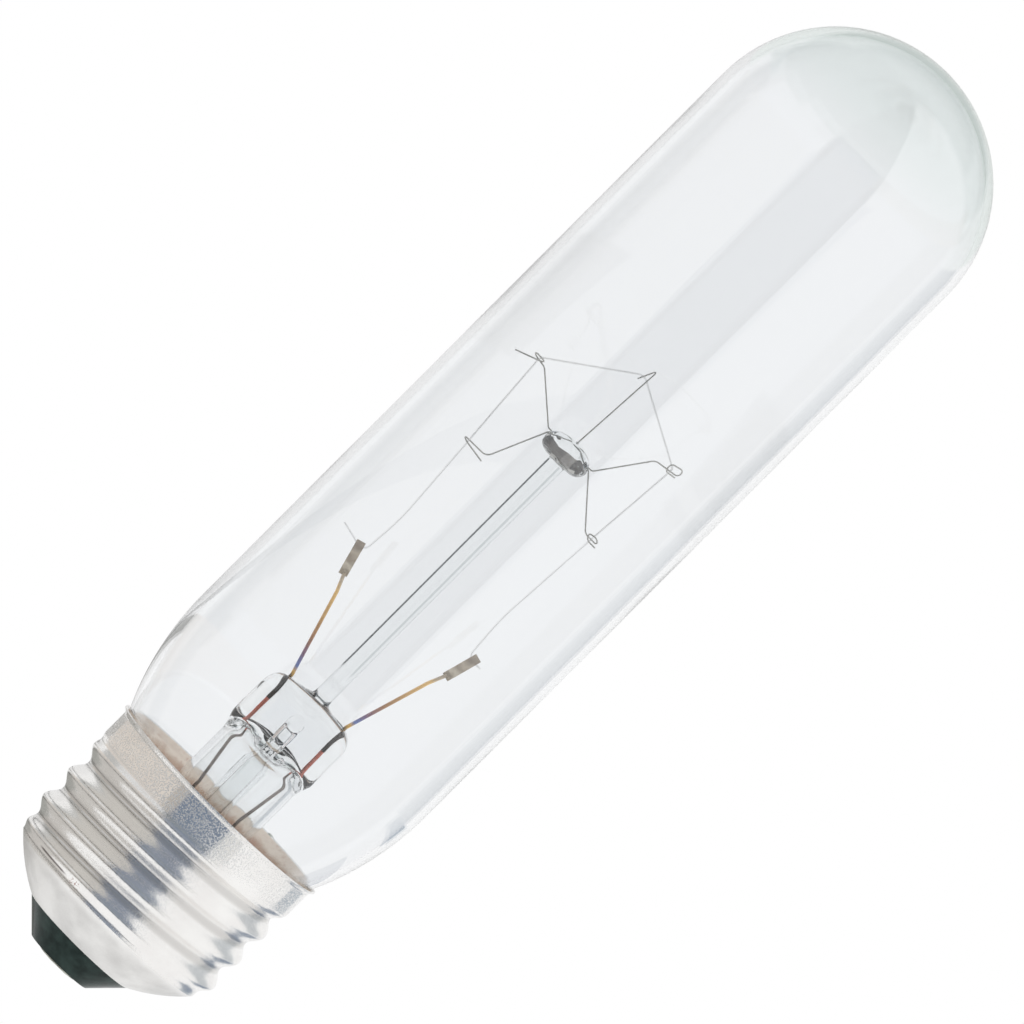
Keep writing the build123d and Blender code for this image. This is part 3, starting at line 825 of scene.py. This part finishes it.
# %% Coil tree
def coil_nodes():
    """Tree that winds a thin wire round a bent route."""
    sizes = {"Coil_radius": "Float", "Turn_spacing": "Float", "Wire_radius": "Float"}
    tree, given = new_tree("filament coil", **sizes, Points_per_turn="Int", Sides="Int")
    spacing = given["Turn spacing"]
    step = add_node(tree, "ShaderNodeMath", {0: spacing, 1: given["Points per turn"]}, operation="DIVIDE")
    resampling = {"Curve": bent_route(tree, given["Geometry"]), "Length": step}
    points = add_node(tree, "GeometryNodeResampleCurve", resampling, mode="LENGTH")
    way = add_node(tree, "GeometryNodeSplineParameter", output="Length")
    turns = add_node(tree, "ShaderNodeMath", {0: way, 1: spacing}, operation="DIVIDE")
    angle = add_node(tree, "ShaderNodeMath", {0: turns, 1: math.tau}, operation="MULTIPLY")
    normal = add_node(tree, "GeometryNodeInputNormal")
    tangent = add_node(tree, "GeometryNodeInputTangent")
    swing = add_node(tree, "ShaderNodeVectorRotate", {"Vector": normal, "Axis": tangent, "Angle": angle})
    reach = {0: swing, "Scale": given["Coil radius"]}
    offset = add_node(tree, "ShaderNodeVectorMath", reach, operation="SCALE")
    line = add_node(tree, "GeometryNodeSetPosition", {"Geometry": points, "Offset": offset})
    end_tree(tree, round_wire(tree, line, given), given["Finish"])
    return tree


coil_tree = coil_nodes()


# %% Wire materials
def mottled_material(name, tones, grain, roughness, uniform, detail=3.0, spread=0.15, pits=0):
    """Two tones and two roughnesses, mixed by noise with a grain in mm, and pits of a depth in mm."""
    material, tree, shader, place = new_material(name, uniform)
    mottle = add_node(tree, "ShaderNodeTexNoise", {"Vector": place, "Scale": per_mm(grain), "Detail": detail})
    tone = add_node(tree, "ShaderNodeValToRGB", {"Fac": mottle})
    set_ramp(tone, (0.5 - spread, tones[0]), (0.5 + spread, tones[1]))
    dull = {"Value": mottle, "To Min": roughness[0], "To Max": roughness[1]}
    fill(shader, {"Base Color": tone, "Roughness": add_node(tree, "ShaderNodeMapRange", dull)})
    if pits:
        bump = add_node(tree, "ShaderNodeBump", {"Height": mottle, "Distance": pits * MM, "Strength": 1.0})
        fill(shader, {"Normal": bump})
    return material


metal = {"Metallic": 1.0}
# Tungsten is drawn hot: a pale, clean grey with a soft shine. Molybdenum is a little darker.
tungsten = mottled_material("drawn tungsten", ("#d4d3d1", "#e8e7e5"), 0.4, (0.3, 0.5), metal)
support_metal = mottled_material("drawn molybdenum", ("#b4b2ad", "#d0ceca"), 0.8, (0.3, 0.5), metal)
print("wires are finished in", tungsten.name, "and", support_metal.name)

# %% Filament
hook_ring_radius = 9.2
filament_radius = 0.1
filament_wire_radius = 0.017
filament_spacing = 0.13
filament_bend = 0.8
filament_bow = 0.5
filament_bow_height = 56.5
filament_bow_bend = 30
foot_left = Vector((-7.5, 0, 51.3))
foot_right = Vector((7.5, 0, 51.3))
tail_left = Vector((-10.9, 0, 52.1))
tail_right = Vector((9.2, 0, 51.3))
# Angle round the axis, height, arm, reach of the loop past the filament, tail, its droop, and lift of the top
hooks = (
    (212.0, 67.2, 3.0, 0.48, -2.4, 0.5, 0.0),
    (162.0, 77.6, 0.9, 0.7, 1.7, 2.0, 0.0),
    (90.0, 83.4, 1.4, 0.3, 0.5, 0.0, 1.7),
    (18.0, 79.1, 1.9, 1.2, 0.4, 0.0, 0.0),
    (328.0, 68.9, 1.2, 0.7, 0.3, 0.0, 0.0),
)


def bow_point(foot, hook):
    """Point of the lowest run where the filament bows in towards the axis."""
    straight = foot.lerp(hook, (filament_bow_height - foot.z) / (hook.z - foot.z))
    return straight - Vector((math.copysign(filament_bow, foot.x), 0, 0))


corners = [polar(hook_ring_radius, angle, height) for angle, height, *hook in hooks]
bows = [bow_point(foot_left, corners[0]), bow_point(foot_right, corners[-1])]
filament_points = [tail_left, foot_left, bows[0], *corners, bows[1], foot_right, tail_right]
filament_bends = [filament_bow_bend if point in bows else filament_bend for point in filament_points]
filament_mesh = run_tree(
    coil_tree,
    route_mesh("filament", filament_points, filament_bends),
    Coil_radius=filament_radius - filament_wire_radius,
    Turn_spacing=filament_spacing,
    Points_per_turn=10,
    Wire_radius=filament_wire_radius,
    Sides=5,
    Finish=tungsten,
)
place_piece("filament_coil", filament_mesh, tungsten, "tungsten", "filament")


# %% [markdown]
# ## Support wires
#
# Five wires of molybdenum are pressed into the soft glass of the button, like spokes. Each leaves the rim of
# the button, is bent towards the filament and ends in a small hook that the filament passes through. The hook
# lies across the filament where it turns, leaning a little to the front, so its place is worked out from the
# filament's own route, and wire and filament stay together.

# %% Support wires
support_radius = 0.078
spoke_root = 0.45
spoke_end = button_radius + 0.45
spoke_height = button_height + 0.3
spoke_bend = 0.5
arm_bend = 1.0
top_bend = 0.25
hook_radius = 0.48
hook_bend = 0.43
hook_pitch = 0.34
hook_lean = 0.55


def support_points(before, corner, after, angle, arm, reach, tail, droop, lift):
    """Corners of a support wire. A negative tail turns an open hook inwards, a lift takes it over the top."""
    towards = (corner - before).normalized()
    away = (after - corner).normalized()
    half_turn = towards.angle(away) / 2
    centre = corner + (away - towards).normalized() * filament_bend * (1 / math.cos(half_turn) - 1)
    along = (towards + away).normalized()
    radial = polar(1, angle, 0)
    outward = (radial - along * radial.dot(along)).normalized()
    level = along.cross(outward)
    across_hook = (level + along * math.copysign(hook_lean, level.y)).normalized() * hook_radius
    half_pitch, quarter_pitch = hook_pitch / 2, hook_pitch / 4
    loop = [(-arm, -1, -half_pitch), (reach, -1, -half_pitch), (reach, 1, -quarter_pitch)]
    if lift:
        loop = [(-0.2, lift / hook_radius, 0), (reach, -0.9, 0), (-tail, -1.1, 0)]
    elif tail < 0:
        loop.append((tail, 1, -droop))
    else:
        loop += [(-hook_radius, 1, quarter_pitch), (-hook_radius, -1, half_pitch)]
        loop.append((hook_radius + tail, -1, half_pitch - droop))
    spoke = [polar(radius, angle, spoke_height) for radius in (spoke_root, spoke_end)]
    return spoke + [centre + outward * out + across_hook * side + along * rise for out, side, rise in loop]


for index, (angle, height, *hook) in enumerate(hooks):
    points = support_points(*filament_points[index + 2 : index + 5], angle, *hook)
    bends = [0, spoke_bend, top_bend if hook[-1] else arm_bend] + [hook_bend] * (len(points) - 3)
    route = route_mesh("support", points, bends)
    support_mesh = run_tree(wire_tree, route, Wire_radius=support_radius, Sides=12, Finish=support_metal)
    name = f"support_wire_{index + 1}"
    place_piece(name + "_drawn", support_mesh, support_metal, "support_metal", name)


# %% [markdown]
# ## Leads
#
# The leads keep their CAD shape. What they lack is colour. The part above the press was close to the flame
# that melted the glass, and heat leaves rainbow oxide colours on nickel: black at the glass, then gold, blue,
# purple and brown, and a mottled grey where the end was hammered flat. The colours follow the height, so a
# Color Ramp on the height paints them, and noise bends the borders.

# %% Lead materials
tint_low = 36.4
tint_high = 52.4
tint_grain = 0.6
tint_wander = 0.6
tint_stops = (
    (37.2, "#2a211c"),
    (37.8, "#cba04c"),
    (38.6, "#5f74a8"),
    (39.8, "#7a5f76"),
    (41.7, "#9c7352"),
    (46.5, "#dab474"),
    (47.7, "#b3a591"),
    (48.5, "#a39786"),
    (49.2, "#c6bdad"),
    (49.9, "#978b7d"),
    (50.6, "#b9ae9f"),
    (51.3, "#8b8075"),
    (52.2, "#a89d8f"),
)


def lead_material():
    """Nickel with the colours of heat up its height."""
    material, tree, shader, place = new_material("heat-tinted nickel", {"Metallic": 0.6})
    grain = {"Vector": place, "Scale": per_mm(tint_grain), "Detail": 2.0}
    streaks = add_node(tree, "ShaderNodeTexNoise", grain)
    height = add_node(tree, "ShaderNodeSeparateXYZ", {0: place}, "Z")
    wander = {"Value": streaks, "To Min": -tint_wander * MM, "To Max": tint_wander * MM}
    border = add_node(tree, "ShaderNodeMapRange", wander)
    level = add_node(tree, "ShaderNodeMath", {0: height, 1: border}, operation="ADD")
    limits = {"Value": level, "From Min": tint_low * MM, "From Max": tint_high * MM}
    share = add_node(tree, "ShaderNodeMapRange", limits)
    tint = add_node(tree, "ShaderNodeValToRGB", {"Fac": share})
    set_ramp(tint, *[((at - tint_low) / (tint_high - tint_low), code) for at, code in tint_stops])
    dull = {"Value": share, "From Min": 0.7, "From Max": 0.75, "To Min": 0.3, "To Max": 0.5}
    fill(shader, {"Base Color": tint, "Roughness": add_node(tree, "ShaderNodeMapRange", dull)})
    return material


lead_nickel = lead_material()
# Copper under a red oxide skin in the glass, and dull brown copper wire below it
seal_copper = mottled_material("oxidised copper sheath", ("#c4604c", "#dc9080"), 0.8, (0.35, 0.55), metal)
lead_copper = mottled_material("tarnished copper wire", ("#6b5d54", "#92837a"), 1.0, (0.35, 0.6), metal)
for side in ("left", "right"):
    paint_node(f"inner_lead_{side}", lead_nickel)
    paint_node(f"seal_wire_{side}", seal_copper)
    paint_node(f"outer_lead_{side}", lead_copper)


# %% [markdown]
# ## Screw shell
#
# The shell is a cup drawn from thin aluminium sheet, and a roller then presses the thread into its wall. The
# mesh is made the same way. First a plain cup with a wall and a curled lip is turned on the axis. Then a
# Geometry Nodes tree rolls the thread: each level is a circle, and the roller pushes it off the axis by half
# the thread depth, one turn per pitch. The tree also notes how deep each point lies, for the material.

# %% Plain cup
base_height = 23.5
skirt_radius = 13.0
skirt_bottom = 20.2
lip_bottom = 22.75
lip_flare_start = 22.98
lip_radius = 13.4
lip_edge = 23.36
sheet = 0.3
lip_sheet = 0.18
lip_curl = 0.06
thread_bottom = 7.4
thread_depth = 0.95
thread_fade = 1.9
thread_pitch = 3.629
crest_height = 13.1
thread_step = 0.16
bowl_low = 3.3
bowl_opening = 6.8
bowl_curve = 19.2
root_radius = skirt_radius - thread_depth
bowl_chord = Vector((root_radius - bowl_opening, thread_bottom - bowl_low))
bowl_rise = math.sqrt(bowl_curve**2 - (bowl_chord.length / 2) ** 2)
bowl_middle = Vector((root_radius + bowl_opening, thread_bottom + bowl_low)) / 2
bowl_centre = bowl_middle + Vector((-bowl_chord.y, bowl_chord.x)).normalized() * bowl_rise


def bowl_outline(start_radius, end_radius, inset, steps=14):
    """Arc of the shell's bottom between two radii, on its outside or by inset inside."""
    outline = []
    for step in range(steps + 1):
        radius = start_radius + (end_radius - start_radius) * step / steps
        depth = math.sqrt((bowl_curve - inset) ** 2 - (radius - bowl_centre.x) ** 2)
        outline.append((radius, bowl_centre.y - depth))
    return outline


thread_levels = round((skirt_bottom - thread_bottom) / thread_step)
wall = []
for step in range(1, thread_levels + 1):
    height = thread_bottom + (skirt_bottom - thread_bottom) * step / thread_levels
    wall.append((root_radius + thread_depth * ease((height - thread_bottom) / thread_fade), height))
lip = rounded(
    [
        (*wall[-1], 0),
        (skirt_radius, lip_flare_start, 0.3),
        (lip_radius, lip_edge, lip_curl),
        (lip_radius, base_height, lip_curl),
        (lip_radius - lip_sheet, base_height, lip_curl),
        (skirt_radius - sheet, lip_bottom, 0.5),
        (skirt_radius - sheet, skirt_bottom, 0),
    ]
)
wall_inside = [(radius - sheet, height) for radius, height in wall[-2::-1]]
cup_outline = bowl_outline(bowl_opening, root_radius, 0) + wall + lip[1:]
cup_outline += wall_inside + bowl_outline(root_radius - sheet, bowl_opening, sheet)
cup_mesh = lathe("shell", cup_outline)
print("plain cup faces:", len(cup_mesh.polygons))


# %% Rolled thread tree
def thread_nodes():
    """Tree that rolls a thread: it rises over its foot, fades to the skirt and turns once per pitch."""
    labels = ("Throw", "Foot", "Full_from", "Full_to", "Skirt", "Crest_height", "Next_crest")
    tree, given = new_tree("rolled thread", **dict.fromkeys(labels, "Float"))
    place = add_node(tree, "GeometryNodeInputPosition")
    height = add_node(tree, "ShaderNodeSeparateXYZ", {0: place}, "Z")
    lower = {"Value": height, "From Min": given["Foot"], "From Max": given["Full from"]}
    rise = add_node(tree, "ShaderNodeMapRange", lower, interpolation_type="SMOOTHSTEP")
    upper = {"Value": height, "From Min": given["Skirt"], "From Max": given["Full to"]}
    upper["To Max"] = given["Throw"]
    throw = add_node(tree, "ShaderNodeMapRange", upper, interpolation_type="SMOOTHSTEP")
    push = add_node(tree, "ShaderNodeMath", {0: rise, 1: throw}, operation="MULTIPLY")
    pitch = {"Value": height, "From Min": given["Crest height"], "From Max": given["Next crest"]}
    roll = add_node(tree, "ShaderNodeMapRange", {**pitch, "To Max": math.tau}, clamp=False)
    spin = {"Vector": (1, 0, 0), "Axis": (0, 0, 1), "Angle": roll}
    push_way = add_node(tree, "ShaderNodeVectorRotate", spin)
    flat = add_node(tree, "ShaderNodeVectorMath", {0: place, 1: (1, 1, 0)}, operation="MULTIPLY")
    outwards = add_node(tree, "ShaderNodeVectorMath", {0: flat}, operation="NORMALIZE")
    change = add_node(tree, "ShaderNodeVectorMath", {0: push_way, 1: outwards}, operation="SUBTRACT")
    shift = add_node(tree, "ShaderNodeVectorMath", {0: change, "Scale": push}, operation="SCALE")
    sunk = add_node(tree, "ShaderNodeVectorMath", {0: shift, 1: outwards}, "Value", operation="DOT_PRODUCT")
    # The depth is kept for the shell material, which paints shade into the valleys with it
    note = {"Geometry": given["Geometry"], "Name": "sunk", "Value": sunk}
    noted = add_node(tree, "GeometryNodeStoreNamedAttribute", note, data_type="FLOAT")
    rolled = add_node(tree, "GeometryNodeSetPosition", {"Geometry": noted, "Offset": shift})
    end_tree(tree, rolled, given["Finish"])
    return tree


thread_tree = thread_nodes()


# %% [markdown]
# ## Shell finish
#
# Bare aluminium sheet is bright and a little soft in its shine. The skirt keeps the fine stipple of rolled
# sheet, which breaks a dark reflection into grains. The valleys are darkened by painted shade, and the drawn
# bottom is matt, with a crease painted as a dark line of shade and a few specks of rust above it. The stipple
# is really about 0.1 mm and is drawn at 0.17 mm to show. Each effect is a range on a height, a distance or a
# noise, so one table holds them all.

# %% Shell material
stipple_size = 0.17
mottle_size = 4
crease_place = Vector((-7.6, -9.4, 8.0))
speck_place = Vector((-4.3, -11.3, 7.9))
bowl_edge = 7.6
frost_dull = 0.3
pit_depth = 0.012
blends = (
    ("crease", "crease shade line", "crease shade patch", "MULTIPLY"),
    ("speck", "speck patch", "speck grain", "MULTIPLY"),
    ("frost", "pits", "on skirt", "MULTIPLY"),
    ("polish", "sheet dull", "bottom dull", "ADD"),
)


def shell_material():
    """Aluminium sheet with stipple, painted shade in the valleys and along a crease, rust specks and matt
    bottom.
    """
    material, tree, shader, place = new_material("rolled aluminium sheet", metal)
    height = add_node(tree, "ShaderNodeSeparateXYZ", {0: place}, "Z")
    sunk = add_node(tree, "ShaderNodeAttribute", output="Fac", attribute_name="sunk")
    stipple, mottle = [
        add_node(tree, "ShaderNodeTexNoise", {"Vector": place, "Scale": per_mm(size), "Detail": detail})
        for size, detail in ((stipple_size, 1.0), (mottle_size, 3.0))
    ]
    to_crease, to_speck = [
        add_node(tree, "ShaderNodeVectorMath", {0: place, 1: spot * MM}, "Value", operation="DISTANCE")
        for spot in (crease_place, speck_place)
    ]
    above = add_node(tree, "ShaderNodeMath", {0: height, 1: crease_place.z * MM}, operation="SUBTRACT")
    gap = add_node(tree, "ShaderNodeMath", {0: above}, operation="ABSOLUTE")
    # What is measured, where the effect starts and is full, its least and greatest value, and how it rises
    effects = {
        # Painted shade: the deeper a point lies in a thread valley, the darker its tone
        "valley shade": (sunk, -0.7, -0.95, 0.0, 0.45, "SMOOTHSTEP"),
        # Painted shade: a dark line along a crease that the mesh itself doesn't have
        "crease shade line": (gap, 0.14 * MM, 0.04 * MM, 0.0, 1.0, "LINEAR"),
        "crease shade patch": (to_crease, 2.6 * MM, 1.8 * MM, 0.0, 0.85, "LINEAR"),
        "speck patch": (to_speck, 0.9 * MM, 0.5 * MM, 0.0, 1.0, "LINEAR"),
        "speck grain": (stipple, 0.58, 0.64, 0.0, 0.8, "LINEAR"),
        "matt": (height, bowl_edge * MM, (bowl_edge - 1.2) * MM, 0.0, 0.85, "SMOOTHSTEP"),
        "bottom dull": (height, bowl_edge * MM, (bowl_edge - 0.8) * MM, 0.0, 0.25, "LINEAR"),
        "sheet dull": (height, skirt_bottom * MM, (skirt_bottom + 0.4) * MM, 0.17, 0.1, "LINEAR"),
        "on skirt": (height, (skirt_bottom - 0.5) * MM, (skirt_bottom + 0.3) * MM, 0.3, 1.0, "LINEAR"),
        "pits": (stipple, 0.5, 0.6, 0.0, 1.0, "SMOOTHSTEP"),
    }
    share = {}
    for label, (measure, start, full, least, most, way) in effects.items():
        limits = {"Value": measure, "From Min": start, "From Max": full, "To Min": least, "To Max": most}
        share[label] = add_node(tree, "ShaderNodeMapRange", limits, interpolation_type=way)
    for label, first, second, operation in blends:
        pair = {0: share[first], 1: share[second]}
        share[label] = add_node(tree, "ShaderNodeMath", pair, operation=operation)
    tone, bowl_tone = [
        set_ramp(add_node(tree, "ShaderNodeValToRGB", {"Fac": mottle}), *stops)
        for stops in (((0.3, "#eeecea"), (0.7, "#f5f4f2")), ((0.35, "#cdccca"), (0.65, "#e6e5e3")))
    ]
    # The valley and crease layers are painted shade that darkens the tone; the specks are rust, the bottom
    # matt
    layers = (("valley shade", "#a9a6a2"), ("crease", "#4a3c38"), ("speck", "#8a4a34"), ("matt", bowl_tone))
    for label, upper in layers:
        upper = colour(upper) if isinstance(upper, str) else upper
        tone = add_node(tree, "ShaderNodeMixRGB", {"Fac": share[label], "Color1": tone, "Color2": upper})
    rub = {0: share["frost"], 1: frost_dull, 2: share["polish"]}
    dull = add_node(tree, "ShaderNodeMath", rub, operation="MULTIPLY_ADD")
    dents = {"Height": share["pits"], "Distance": pit_depth * MM, "Strength": share["on skirt"]}
    fill(shader, {"Base Color": tone, "Roughness": dull, "Normal": add_node(tree, "ShaderNodeBump", dents)})
    print("shell material nodes:", len(tree.nodes))
    return material


shell_aluminium = shell_material()

# %% Screw shell
side_angle = 61.3
notch_half = Vector((0.8, 0.25))
notch_levels = (base_height - 1.9, base_height + 1)
threaded_mesh = run_tree(
    thread_tree,
    cup_mesh,
    Throw=thread_depth / 2,
    Foot=thread_bottom,
    Full_from=thread_bottom + thread_fade,
    Full_to=skirt_bottom - thread_fade,
    Skirt=skirt_bottom,
    Crest_height=crest_height,
    Next_crest=crest_height + thread_pitch,
    Finish=shell_aluminium,
)
notch_ends = [[Vector((0, 0, height))] for height in notch_levels]
notch_rings = [
    [Vector((x * notch_half.x, y * notch_half.y, height)) for x, y in ((-1, -1), (1, -1), (1, 1), (-1, 1))]
    for height in notch_levels
]
notch_mesh = skin("notch", [notch_ends[0], *notch_rings, notch_ends[1]])
notch_turn = Matrix.Rotation(math.radians(side_angle), 4, "Z")
notch_mesh.transform(notch_turn @ Matrix.Translation((skirt_radius, 0, 0)))
shell_mesh = boolean_mesh(threaded_mesh, ("DIFFERENCE", notch_mesh))
place_piece("rolled_shell", shell_mesh, shell_aluminium, "shell_aluminium", "screw_shell")


# %% [markdown]
# ## Insulator and contact
#
# The bottom of the base is filled with black glass, poured into the shell and pressed to a cone round the
# brass contact. It is glossy where the mould was smooth and greyed by fine dust. Its section follows the
# inside of the shell's bottom, so it is turned from one outline, with the mould's rounded edge.

# %% Black glass insulator
insulator_low = 0.3
insulator_foot = 3.85
insulator_edge = 0.12
contact_radius = 3.3
contact_top = 0.55
hub_radius = 2.5
hub_top = 4.9
eyelet_radius = 1.2
cup_radius = root_radius - sheet - 1.3
black_uniform = {"IOR": 1.52, "Specular IOR Level": 0.06}
black_glass = mottled_material(
    "pressed black glass", ("#101c1a", "#2b3936"), 1.5, (0.05, 0.35), black_uniform, 5.0, 0.2, 0.006
)
insulator_outline = rounded(
    [
        (contact_radius, contact_top, 0),
        (contact_radius, insulator_low, 0.05),
        (insulator_foot, insulator_low, insulator_edge),
        (bowl_opening, bowl_low, 0),
    ]
)
insulator_outline += bowl_outline(bowl_opening, cup_radius, sheet)
insulator_outline += [(hub_radius, hub_top), (eyelet_radius, hub_top), (eyelet_radius, contact_top)]
insulator_mesh = lathe("insulator", insulator_outline, 128)
place_piece("black_glass_insulator", insulator_mesh, black_glass, "black_glass", "base_insulator")

# Stamped brass, dulled by handling, with fine swirls from the press
contact_brass = mottled_material("stamped brass", ("#a5834a", "#c4a263"), 0.5, (0.25, 0.45), metal)
paint_node("centre_contact", contact_brass)


# %% [markdown]
# ## Solder and cement
#
# Solder sets as a smooth, slightly lumpy drop, and the basing cement as a crumbly ring with rusty grains that
# the baking leaves in it. A drop has no exact shape, so it starts from a turned form and noise moves each
# point a little. The noise is a fixed function of the place, so the shape is the same on every run.

# %% Solder
# Tin and lead set with a grey, frosted skin that is brighter where it cooled last
solder = mottled_material("tin-lead solder", ("#a7aa9f", "#cfd1c9"), 0.5, (0.3, 0.6), metal, 4.0, 0.2)


def lumpy(mesh, lump_size, lump_depth, lowest=-1000):
    """Moves each point of a mesh along its normal by noise, but not under the lowest level."""
    moves = [vertex.normal * noise.noise(vertex.co / lump_size) * lump_depth for vertex in mesh.vertices]
    for vertex, move in zip(mesh.vertices, moves):
        vertex.co += move
        vertex.co.z = max(vertex.co.z, lowest)
    mesh.update()
    return mesh


mound = ((0, 0.0, 0), (2.2, 0.0, 1.5), (3.05, 0.24, 0.1), (0.9, 0.26, 0), (0.9, 1.5, 0.1), (0, 1.6, 0))
mound_mesh = lumpy(lathe("contact mound", rounded(mound), 64, closed=False), 1.2, 0.05, 0.0)
place_piece("contact_solder_mound", mound_mesh, solder, "solder", "contact_solder")

bead_radius = 0.6
bead_flatness = 0.65
bead_out = 0.2
bead_drop = 0.3
bead_outline = arc((0, 0), bead_radius, -82, 82, 20)
bead_mesh = lathe("side bead", [(0, -bead_radius), *bead_outline, (0, bead_radius)], 32, closed=False)
bead_mesh.transform(Matrix.Scale(bead_flatness, 4, (0, 0, 1)))
bead_place = polar(lip_radius + bead_out, side_angle, base_height - bead_drop)
bead_mesh.transform(Matrix.Translation(bead_place))
place_piece("side_solder_bead", lumpy(bead_mesh, 0.6, 0.12), solder, "solder", "side_solder")

# %% Cement material
cement_top = 23.4
cement_bottom = 20.5
cement_grain = 1.2
rust_size = 0.35
cement_wander = 1.6
cement_pits = 0.12


def cement_material():
    """Pale cement that is browner below, with rusty grains and a crumbly surface."""
    material, tree, shader, place = new_material("baked basing cement", {"Roughness": 0.9})
    grain, rust_grain = [
        add_node(tree, "ShaderNodeTexNoise", {"Vector": place, "Scale": per_mm(size), "Detail": detail})
        for size, detail in ((cement_grain, 5.0), (rust_size, 3.0))
    ]
    height = add_node(tree, "ShaderNodeSeparateXYZ", {0: place}, "Z")
    wander = {0: grain, 1: cement_wander * MM, 2: height}
    level = add_node(tree, "ShaderNodeMath", wander, operation="MULTIPLY_ADD")
    limits = {"Value": level, "From Min": cement_bottom * MM, "From Max": cement_top * MM}
    tone = add_node(tree, "ShaderNodeValToRGB", {"Fac": add_node(tree, "ShaderNodeMapRange", limits)})
    set_ramp(tone, (0.55, "#8c6653"), (0.8, "#a68e7a"), (1.0, "#c6b9aa"))
    limits = {"Value": rust_grain, "From Min": 0.55, "From Max": 0.72, "To Max": 0.55}
    rust = add_node(tree, "ShaderNodeMapRange", limits)
    layer = {"Fac": rust, "Color1": tone, "Color2": colour("#9a6a55")}
    bump = add_node(tree, "ShaderNodeBump", {"Height": grain, "Distance": cement_pits * MM, "Strength": 1.0})
    fill(shader, {"Base Color": add_node(tree, "ShaderNodeMixRGB", layer), "Normal": bump})
    print("cement material nodes:", len(tree.nodes))
    return material


# %% Basing cement
neck_gap = 0.03
skirt_gap = 0.02
lip_gap = 0.17
neck_dip = 0.05
neck_slope = (rim_radius - neck_radius) / (rim_height - neck_cone_bottom)
neck_at_bottom, neck_at_top = [
    rim_radius - (rim_height - height) * neck_slope + neck_gap for height in (cement_bottom, cement_top)
]
cement_outside = skirt_radius - sheet - skirt_gap
cement_outline = [
    (neck_at_bottom, cement_bottom),
    (cement_outside, cement_bottom),
    (cement_outside, lip_bottom),
    (lip_radius - sheet - lip_gap, cement_top),
    (neck_at_top, cement_top - neck_dip),
]
cement_mesh = lathe("cement", cement_outline, 256)
place_piece("cement_ring", cement_mesh, cement_material(), "cement", "basing_cement")
